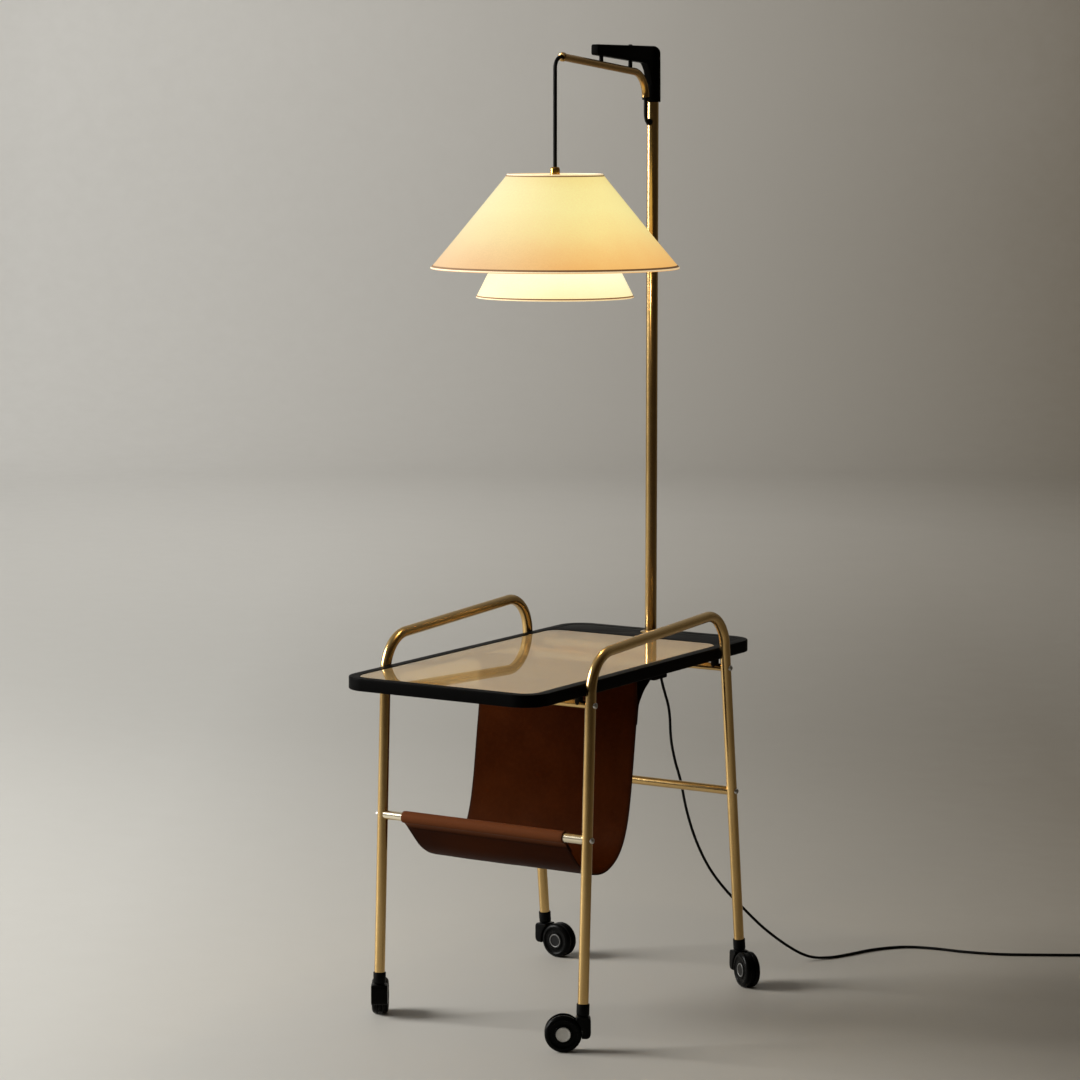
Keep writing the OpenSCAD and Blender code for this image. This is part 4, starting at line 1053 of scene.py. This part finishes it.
def rim_roll(name, s, f, rad, n=180):
    """Rolled cloth round the wire at a rim; f is 0 at the lower rim and 1 at the top."""
    k = (s["d0"] - s["d1"]) / 2 / s["h"]
    z = s["z0"] + s["h"] * f + (rad * 0.55 if f == 0 else -rad * 0.55)
    r = s["d0"] / 2 - k * (z - s["z0"]) - ST * 0.5
    sec = []
    for a in range(0, 360, 24):
        q = math.radians(a)
        sec.append((r + rad * math.cos(q), z + rad * math.sin(q)))
    return lathe(name, [(rr * MM, zz * MM) for rr, zz in sec], n, (0, 0, 0), (0, 0, 1), True, 80)


outer = shade_mesh("outer_shade_cloth", OUT)
inner = shade_mesh("inner_shade_cloth", INN, 28)
shade_inside(outer, OUT)
shade_inside(inner, INN)
# the outer cloth's glow is painted stronger on one side
OUTM = shade_material("outer_cloth", [
    (0.00, (0.90, 0.47, 0.130)), (0.20, (0.95, 0.60, 0.20)), (0.42, (0.98, 0.76, 0.285)),
    (0.62, (0.99, 0.845, 0.34)), (0.82, (0.99, 0.835, 0.335)), (1.00, (0.95, 0.75, 0.27))],
    OUT["z0"] * MM, (OUT["z0"] + OUT["h"]) * MM, (0.17, 0.165, 0.155), 0.95, True)
INNM = shade_material("inner_cloth", [
    (0.00, (1.0, 0.86, 0.46)), (0.25, (1.0, 0.95, 0.62)), (0.7, (1.0, 0.99, 0.82)), (1.0, (1.0, 0.98, 0.76))],
    INN["z0"] * MM, (INN["z0"] + INN["h"]) * MM, (0.25, 0.24, 0.20), 1.0)
OUTI = shade_material("outer_lining", [
    (0.00, (0.95, 0.66, 0.32)), (0.5, (1.0, 0.85, 0.50)), (1.0, (1.0, 0.82, 0.46))],
    OUT["z0"] * MM, (OUT["z0"] + OUT["h"]) * MM, (0.78, 0.70, 0.56), 0.85)
INNI = shade_material("inner_lining", [
    (0.00, (1.0, 0.93, 0.62)), (0.4, (1.0, 0.97, 0.76)), (1.0, (1.0, 0.96, 0.74))],
    INN["z0"] * MM, (INN["z0"] + INN["h"]) * MM, (0.80, 0.74, 0.62), 1.6)
# the tapes and rolled rims glow too: painted light, dim on the doubled tape and bright on the rolled edge
TAPE = shade_material("tape_cloth", [(0.0, (0.19, 0.085, 0.027)), (1.0, (0.28, 0.145, 0.055))],
                      1.1, 1.31, (0.20, 0.12, 0.06), 0.55)
ROLLM = shade_material("rolled_cloth", [(0.0, (1.0, 0.74, 0.42)), (1.0, (1.0, 0.78, 0.48))],
                       1.1, 1.31, (0.70, 0.58, 0.42), 0.75)
for ob, a, b, node, sl_ in ((outer, OUTM, OUTI, "outer_shade", "outer_fabric"), (inner, INNM, INNI, "inner_shade", "inner_fabric")):
    ob.data.materials.clear()
    idx = [p.material_index for p in ob.data.polygons]
    ob.data.materials.append(a)
    ob.data.materials.append(b)
    ob.data.polygons.foreach_set("material_index", idx)
    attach(ob, "pendant")
    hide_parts(node)
bands = [hem_band("b", OUT, 1.6, 3.0, 0.35), hem_band("b", OUT, OUT["h"] - 3.2, 1.6, 0.35),
         hem_band("b", INN, 1.2, 2.0, 0.3), hem_band("b", INN, INN["h"] - 2.6, 1.4, 0.3)]
ob = join("shade_tapes", bands)
smooth(ob, 40)
piece(ob, "pendant", TAPE, slot="outer_fabric")
rolls = [rim_roll("r", OUT, 0, 1.35), rim_roll("r", OUT, 1, 1.2), rim_roll("r", INN, 0, 1.1), rim_roll("r", INN, 1, 1.1)]
ob = join("shade_rolled_rims", rolls)
smooth(ob, 80)
piece(ob, "pendant", ROLLM, slot="outer_fabric")
for k in ("outer_shade_frame", "inner_shade_frame"):
    finish_node(k, BRASS_X)

# ------------------------------------------------------------------ sling
def sling():
    cb = (leg_f(BAR), BAR)
    rm = 8.55
    half = 1.15
    main = [(-209, 312.4), (-203.4, 308.9), (-195, 299.5), (-181, 284.5), (-165, 269), (-148, 257.5),
            (-128, 249), (-104, 244.5), (-82, 246), (-62, 253.5), (-46, 265),
            (-33.5, 280.5), (-24, 300.5), (-16.5, 325.5), (-10, 357.5), (-4.5, 395.5),
            (0.5, 430.5), (5, 460.5), (8, 485.5)]
    # start: a short flap on the pocket side, up round the bar and down its front
    path = [(-186.4, 294.4), (-191.2, 299.6), (-196.0, 305.1), (-199.3, 310.3)]
    for a in range(-28, 246, 12):
        q = math.radians(a)
        path.append((cb[0] + rm * math.cos(q), cb[1] + rm * math.sin(q)))
    path += [(-206.6, 311.1)] + main[2:]
    path += [(7.6, 503.5), (7.4, 518), (7.4, 528)]
    path += [(7.9, 533.8), (10.5, 537.2), (15, 537.9), (31, 537.9), (48, 537.9), (52.6, 537.0), (54.7, 533.8), (53.4, 529.8),
             (43.6, 521.6), (29.8, 511.8), (19, 500.0), (12.8, 491.0), (10.7, 483.5), (8.9, 471.5), (7.0, 459.5)]
    pts = [Vector((0, y * MM, z * MM)) for y, z in path]
    line = resample(catmull(pts, 8), 0.0026)
    n = len(line)
    fr = []
    for i in range(n):
        d = (line[min(i + 1, n - 1)] - line[max(i - 1, 0)]).normalized()
        fr.append(Vector((0, -d.z, d.y)))
    total = length_of(line)
    nx = 84
    wid = 290.0
    verts, faces, edge, rub_and_sheen = [], [], [], []
    cum = [0.0]
    for a, b in zip(line, line[1:]):
        cum.append(cum[-1] + (b - a).length)
    for j in range(nx + 1):
        x = -wid / 2 + wid * j / nx
        # soften the cut edges by making the outermost rows thinner
        for i in range(2 * n):
            s = i if i < n else 2 * n - 1 - i
            sign = 1 if i < n else -1
            p, nn = line[s], fr[s]
            e = min(j, nx - j) / 1.0
            hh = half
            xx = x
            if min(j, nx - j) == 0:
                hh = half * 0.72
            # free span between the bars bulges and waves a little
            t = cum[s] / total
            free = max(0.0, math.sin(math.pi * max(0, min(1, (t - 0.16) / 0.60)))) if 0.16 < t < 0.76 else 0.0
            wv = noise.noise(Vector((x * 0.011, t * 5.0, 3.7))) * 1.1 + noise.noise(Vector((x * 0.03, t * 11.0, 9.1))) * 0.35
            bow = -0.9 * (1 - (2 * x / wid) ** 2)
            q = p + nn * ((sign * hh + (wv + bow) * free) * MM)
            verts.append(Vector((xx * MM, q.y, q.z)))
            ed = 1.0 if min(j, nx - j) == 0 else (0.35 if min(j, nx - j) == 1 else 0.0)
            if s in (0, n - 1):
                ed = 1.0
            edge.append(ed)
            # mark the roll round the front bar, painted lighter for rub wear and a painted sheen
            da = (Vector((0, p.y / MM - cb[0], p.z / MM - cb[1]))).length
            rub_and_sheen.append(1.0 if da < 11.5 else max(0.0, 1 - (da - 11.5) / 8))
    m = 2 * n
    for j in range(nx):
        for i in range(m):
            k = (i + 1) % m
            faces.append([j * m + i, j * m + k, (j + 1) * m + k, (j + 1) * m + i])
    # end faces: strips between the two sides
    for j in (0, nx):
        for s in range(n - 1):
            a, b, c, d = j * m + s, j * m + s + 1, j * m + (2 * n - 2 - s), j * m + (2 * n - 1 - s)
            faces.append([a, b, c, d] if j else [d, c, b, a])
    me = bpy.data.meshes.new("leather_sling_sheet")
    me.from_pydata([tuple(v) for v in verts], [], faces)
    me.validate()
    at1 = me.attributes.new("edge", "FLOAT", "POINT")
    at1.data.foreach_set("value", edge)
    at2 = me.attributes.new("rub_and_sheen", "FLOAT", "POINT")
    at2.data.foreach_set("value", rub_and_sheen)
    ob = bpy.data.objects.new("leather_sling_sheet", me)
    bpy.context.scene.collection.objects.link(ob)
    bm = bmesh.new()
    bm.from_mesh(me)
    bmesh.ops.recalc_face_normals(bm, faces=bm.faces)
    bm.to_mesh(me)
    bm.free()
    me.polygons.foreach_set("use_smooth", [True] * len(me.polygons))
    me.set_sharp_from_angle(angle=math.radians(50))
    return ob, total, line, fr, cum


sl_ob, sling_len, sl_line, sl_nrm, sl_cum = sling()
sl_ob.data.materials.append(LEATHERM)
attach(sl_ob, "base")
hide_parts("leather_sling")


def stitch_row(name, point, normal, along, side):
    """A row of thread stitches across the sling."""
    verts, faces = [], []
    pitch, ln, r = 5.2, 3.9, 0.38
    x = -138.0
    while x <= 138.0:
        base = len(verts)
        segs = []
        for k in range(7):
            t = k / 6
            u = x + (t - 0.5) * ln
            hgt = (1.15 + 0.18 + 0.22 * math.sin(math.pi * t) - (0.5 if k in (0, 6) else 0)) * side
            c = point + normal * (hgt * MM) + Vector((u * MM, 0, 0)) + along * ((t - 0.5) * 0.5 * MM)
            segs.append(c)
        v, f = tube_data(segs, lambda i: (0.2 if i in (0, 6) else r) * MM, 8, (0, 0, 1))
        verts += v
        faces += [[q + base for q in ff] for ff in f]
        x += pitch
    return add_mesh(name, verts, faces, 60)


def on_line(y, z, first):
    """Index of the sling's line point nearest to a place; first picks the flap or the main run."""
    best, bi = 1e9, 0
    half_n = len(sl_line) // 8
    for i, p in enumerate(sl_line):
        if (i < half_n) != first:
            continue
        d = (p - Vector((0, y * MM, z * MM))).length
        if d < best:
            best, bi = d, i
    return bi


rows = []
for y, z, first, side in ((-197, 301.8, False, -1), (-194.5, 303.3, True, 1)):
    i = on_line(y, z, first)
    nrm = sl_nrm[i]
    rows.append((sl_line[i], nrm, side, i))
st = []
for p, nrm, side, i in rows:
    tang = (sl_line[i + 1] - sl_line[i - 1]).normalized()
    # the outer face is the one away from the pocket
    away = Vector((0, -0.7, -0.7)) if side < 0 else Vector((0, 0.7, 0.7))
    sg = 1 if nrm.dot(away) > 0 else -1
    st.append(stitch_row("s", p, nrm, tang, sg))
i = min(range(len(sl_line)), key=lambda q: (sl_line[q] - at(0, 6.0, 467.5)).length)
for sg in (1, -1):
    nrm = sl_nrm[i]
ob = join("sling_stitches", st)
smooth(ob, 60)
piece(ob, "base", THREADM, slot="dark_leather")

# ------------------------------------------------------------------ casters
CA = {"fl": (-FX, leg_f(55), 122), "fr": (FX, leg_f(55), 212), "rl": (-FX, leg_r(55), -6), "rr": (FX, leg_r(55), -37)}
WR, TR, CW = 28.25, 29.5, 25.6
HW = CW / 2


def hood_mesh(name):
    arc = []
    for k in range(19):
        a = math.radians(130.0 + (193.8 - 130.0) * k / 18)
        arc.append((TR + (WR + 0.35) * math.cos(a), WR + (WR + 0.35) * math.sin(a)))
    out = [(9.4, 53.2)] + arc + [(-5.4, 21.4), (-8.4, 22.2), (-10.6, 24.2), (-11.8, 27.6), (-12.1, 32), (-12, 48.4), (-11.2, 51), (-9, 53.2)]
    out = rounded(out, 1.4, 3, True)
    horn = plate("horn", [mm(out)], -HW * MM, HW * MM, 1.5 * MM, 4)
    horn.data.transform(Matrix.Rotation(math.radians(90), 4, "X"))
    disc = lathe("web", rounded([(0, -2.7 * MM), (25.8 * MM, -2.7 * MM), (25.8 * MM, 2.7 * MM), (0, 2.7 * MM)], 0.0006, 3), 80, at(TR, 0, WR), (0, 1, 0))
    collar = lathe("collar", [(r * MM, z * MM) for r, z in [(0, 52.0), (8.6, 52.0), (9.0, 53.0), (8.8, 53.8), (4.4, 53.9), (4.0, 54.4), (4.0, 71.6), (0, 71.6)]], 48)
    ob = join(name, [horn, disc, collar])
    smooth(ob, 35)
    return ob


def wheel_mesh(name):
    parts = []
    for s in (-1, 1):
        prof = [(3.02, 3.4), (9, 3.4), (9, 4.4), (20, 4.4), (22, 3.4), (WR - 1.6, 3.4), (WR - 0.5, 4.0), (WR, 5.4),
                (WR, 7.6), (WR - 0.22, 8.8), (WR - 0.8, 10.0), (WR - 1.7, 11.0), (WR - 3.0, 12.0), (WR - 4.5, 12.6), (WR - 5.6, HW), (WR - 6.4, HW), (WR - 7.0, HW - 0.35), (WR - 7.4, HW - 1.1),
                (WR - 8.1, HW - 1.5), (15.6, HW - 1.8), (14.6, HW - 1.5), (14.1, HW - 0.7), (13.6, HW - 0.25), (12.2, HW - 0.2), (11.5, HW - 0.5), (11.3, HW - 1.2), (11.2, HW - 2.2), (3.02, HW - 2.2)]
        parts.append(lathe("w", [(r * MM, z * MM) for r, z in prof], 96, at(TR, 0, WR), (0, s, 0), True, 28))
    ob = join(name, parts)
    smooth(ob, 30)
    return ob


def cap_mesh(name, s):
    prof = [(3.0, 0), (10.9, 0.0), (11.1, 0.3), (11.1, 1.2), (10.9, 1.7), (10.5, 2.0), (10.0, 2.05), (9.6, 1.8), (9.35, 1.2), (8.6, 1.05), (3.0, 1.3), (0, 1.35)]
    ob = lathe(name, [(r * MM, z * MM) for r, z in prof], 72, at(TR, s * (HW - 2.15), WR), (0, s, 0), False, 30)
    for f in ob.data.polygons:
        c = f.center
        f.material_index = 1 if math.hypot(c.x - TR * MM, c.z - WR * MM) > 9.2 * MM else 0
    return ob


for key, (x, y, d) in CA.items():
    m = Matrix.Translation(at(x, y, 0)) @ Matrix.Rotation(math.radians(d), 4, "Z")
    ob = place(hood_mesh("caster_hood_" + key), m)
    piece(ob, "swivel_" + key, HOODM, "hood_" + key, slot="black_steel")
    ob = place(wheel_mesh("caster_wheels_" + key), m)
    piece(ob, "wheel_" + key, WHEELM, "wheels_" + key, slot="wheel_plastic")
    caps = join("caster_caps_" + key, [cap_mesh("c", -1), cap_mesh("c", 1),
                                       tube("ax", [at(TR, -10.6, WR), at(TR, 10.6, WR)], 3.0 * MM, 32, (1, 0, 0))])
    smooth(caps, 30)
    place(caps, m)
    idx = [f.material_index for f in caps.data.polygons]
    # the front-right caster's caps are painted light grey as a painted highlight; the others keep the dark cap with its
    # grey ring
    piece(caps, "wheel_" + key, GREY_CAP_HIGHLIGHT if key == "fr" else GREYD, "axle_" + key, slot="grey_cap")
    caps.data.materials.append(GREY_RING_HIGHLIGHT if key == "fr" else GREYR)
    caps.data.polygons.foreach_set("material_index", idx)

ferr = []
for s in (-1, 1):
    for rear in (False, True):
        sl_y = leg_r(55) if rear else leg_f(55)
        tilt = math.atan(0.111 if rear else -0.0442)
        prof = [(8.25, 18.0), (9.0, 18.0), (9.6, 17.6), (9.85, 16.8), (9.85, 3.0), (9.6, 1.0), (8.8, 0.1), (4.05, 0.0), (4.05, 6.0), (8.25, 6.0)]
        ob = lathe("f", [(r * MM, z * MM) for r, z in prof], 56, (0, 0, 0), (0, 0, 1), True, 35)
        place(ob, Matrix.Translation(at(s * FX, sl_y, 55)) @ Matrix.Rotation(tilt, 4, "X"))
        ferr.append(ob)
ob = join("leg_ferrules", ferr)
smooth(ob, 35)
piece(ob, "base", PLASTICM, "caster_ferrules", slot="black_plastic")

# ------------------------------------------------------------------ stage and light
fl = Mat("floor")
fn = fl.noise(fl.coords(), 0.9, 6.0, 0.6)
ff = fl.noise(fl.coords(), 14.0, 5.0, 0.6)
fsep = fl.new("ShaderNodeSeparateXYZ")
fl.link(fl.coords(), fsep.inputs[0])
# painted shade: the colour darkens from the window side to the other, on the floor and up the wall
painted_falloff = fl.math("ADD", fl.math("MULTIPLY", fsep.outputs[0], 0.85), fl.math("MULTIPLY", fsep.outputs[1], 0.527))
painted_dark_front = fl.math("ADD", fl.math("MULTIPLY", fsep.outputs[0], 0.75), fl.math("MULTIPLY", fsep.outputs[1], -0.66))
floor_painted_shade = fl.mix(fl.range(painted_falloff, -0.8, 1.1, 0.0, 1.0), (0.61, 0.605, 0.575), (0.27, 0.24, 0.195))

wall_painted_shade = fl.mix(fl.range(painted_falloff, -2.2, 2.4, 0.0, 1.0), (0.86, 0.86, 0.84), (0.24, 0.212, 0.17))
floor_painted_shade = fl.mix(fl.range(fsep.outputs[1], 2.0, 6.0, 0.0, 1.0), floor_painted_shade, wall_painted_shade)
# painted shade: near black far off on the dark side of the room
floor_painted_shade = fl.mix(fl.range(painted_dark_front, 1.3, 4.0, 0.0, 1.0), floor_painted_shade, (0.055, 0.036, 0.016))
# painted shade: near black off to the other side as well
painted_dark_side = fl.math("ADD", fl.math("MULTIPLY", fsep.outputs[0], 0.90), fl.math("MULTIPLY", fsep.outputs[1], -0.44))
floor_painted_shade = fl.mix(fl.range(painted_dark_side, 2.2, 5.0, 0.0, 1.0), floor_painted_shade, (0.055, 0.036, 0.016))
# painted shade: greyer under the window light, so that it does not burn out in the other views
wx, wy = fl.math("ADD", fsep.outputs[0], 4.2), fl.math("ADD", fsep.outputs[1], 2.3)
wd = fl.math("ADD", fl.math("MULTIPLY", wx, wx), fl.math("MULTIPLY", wy, wy))
floor_painted_shade = fl.mix(fl.range(wd, 1.5, 13.5, 0.0, 1.0), (0.15, 0.148, 0.142), floor_painted_shade)
fl.to(fl.mix(fl.range(ff, 0.3, 0.7, 0.0, 0.06), floor_painted_shade, (0.45, 0.43, 0.39)), "Base Color")
fl.to(fl.range(fn, 0.3, 0.7, 0.50, 0.64), "Roughness")
fl.set(Specular_IOR_Level=0.35)
prof = [(0, 0), (3, 0), (6.0, 0)]
for k in range(0, 19):
    q = math.radians(90 * k / 18)
    prof.append((8.2 + 2.2 * math.sin(q), 2.2 - 2.2 * math.cos(q)))
prof += [(10.4, 4.2)]
floor = lathe("floor", prof, 160, (0, 0, 0), (0, 0, 1), False, 60)
bm = bmesh.new()
bm.from_mesh(floor.data)
for f in bm.faces:
    if f.normal.z < 0 or (abs(f.normal.z) < 0.01 and f.normal.dot(f.calc_center_median()) > 0):
        f.normal_flip()
bm.to_mesh(floor.data)
bm.free()
floor.data.materials.append(fl.m)

scn = bpy.context.scene
scn.view_settings.view_transform = "Standard"
scn.view_settings.look = "None"

world = bpy.data.worlds.new("world")
scn.world = world
world.use_nodes = True
wt = world.node_tree
bg = wt.nodes["Background"]
wc = wt.nodes.new("ShaderNodeTexCoord")
dot = wt.nodes.new("ShaderNodeVectorMath")
dot.operation = "DOT_PRODUCT"
dot.inputs[1].default_value = (-0.85, 0.20, 0.0)
wt.links.new(wc.outputs["Generated"], dot.inputs[0])
wr_ = wt.nodes.new("ShaderNodeMapRange")
for i, v in enumerate((-0.55, 0.70, 0.0, 1.0)):
    wr_.inputs[i + 1].default_value = v
wt.links.new(dot.outputs["Value"], wr_.inputs[0])
cr = wt.nodes.new("ShaderNodeValToRGB")
cr.color_ramp.elements[0].color = (0.075, 0.047, 0.018, 1)
cr.color_ramp.elements[1].color = (0.95, 0.94, 0.90, 1)
wt.links.new(wr_.outputs[0], cr.inputs[0])
wt.links.new(cr.outputs[0], bg.inputs[0])
bg.inputs[1].default_value = 0.42


def area(name, loc, target, size, power, col):
    li = bpy.data.lights.new(name, "AREA")
    li.shape = "RECTANGLE"
    li.size, li.size_y = size
    li.energy = power
    li.color = col
    ob = bpy.data.objects.new(name, li)
    bpy.context.scene.collection.objects.link(ob)
    ob.location = loc
    ob.rotation_euler = (Vector(target) - Vector(loc)).to_track_quat("-Z", "Y").to_euler()
    return ob


area("window", (-4.8, -2.63, 2.7), (0, 0, 0.6), (2.7, 3.1), 545, (1.0, 0.985, 0.955))
area("backdrop_light", (-3.0, 3.8, 4.8), (-6.4, 9.8, 1.4), (4.0, 2.0), 150, (1.0, 0.98, 0.94))
lamp = bpy.data.lights.new("bulb_light", "POINT")
lamp.energy = 1.8
lamp.color = (1.0, 0.78, 0.50)
lamp.shadow_soft_size = 0.03
lo_ = bpy.data.objects.new("bulb_light", lamp)
bpy.context.scene.collection.objects.link(lo_)
lo_.location = (0, 0, 1.1105)
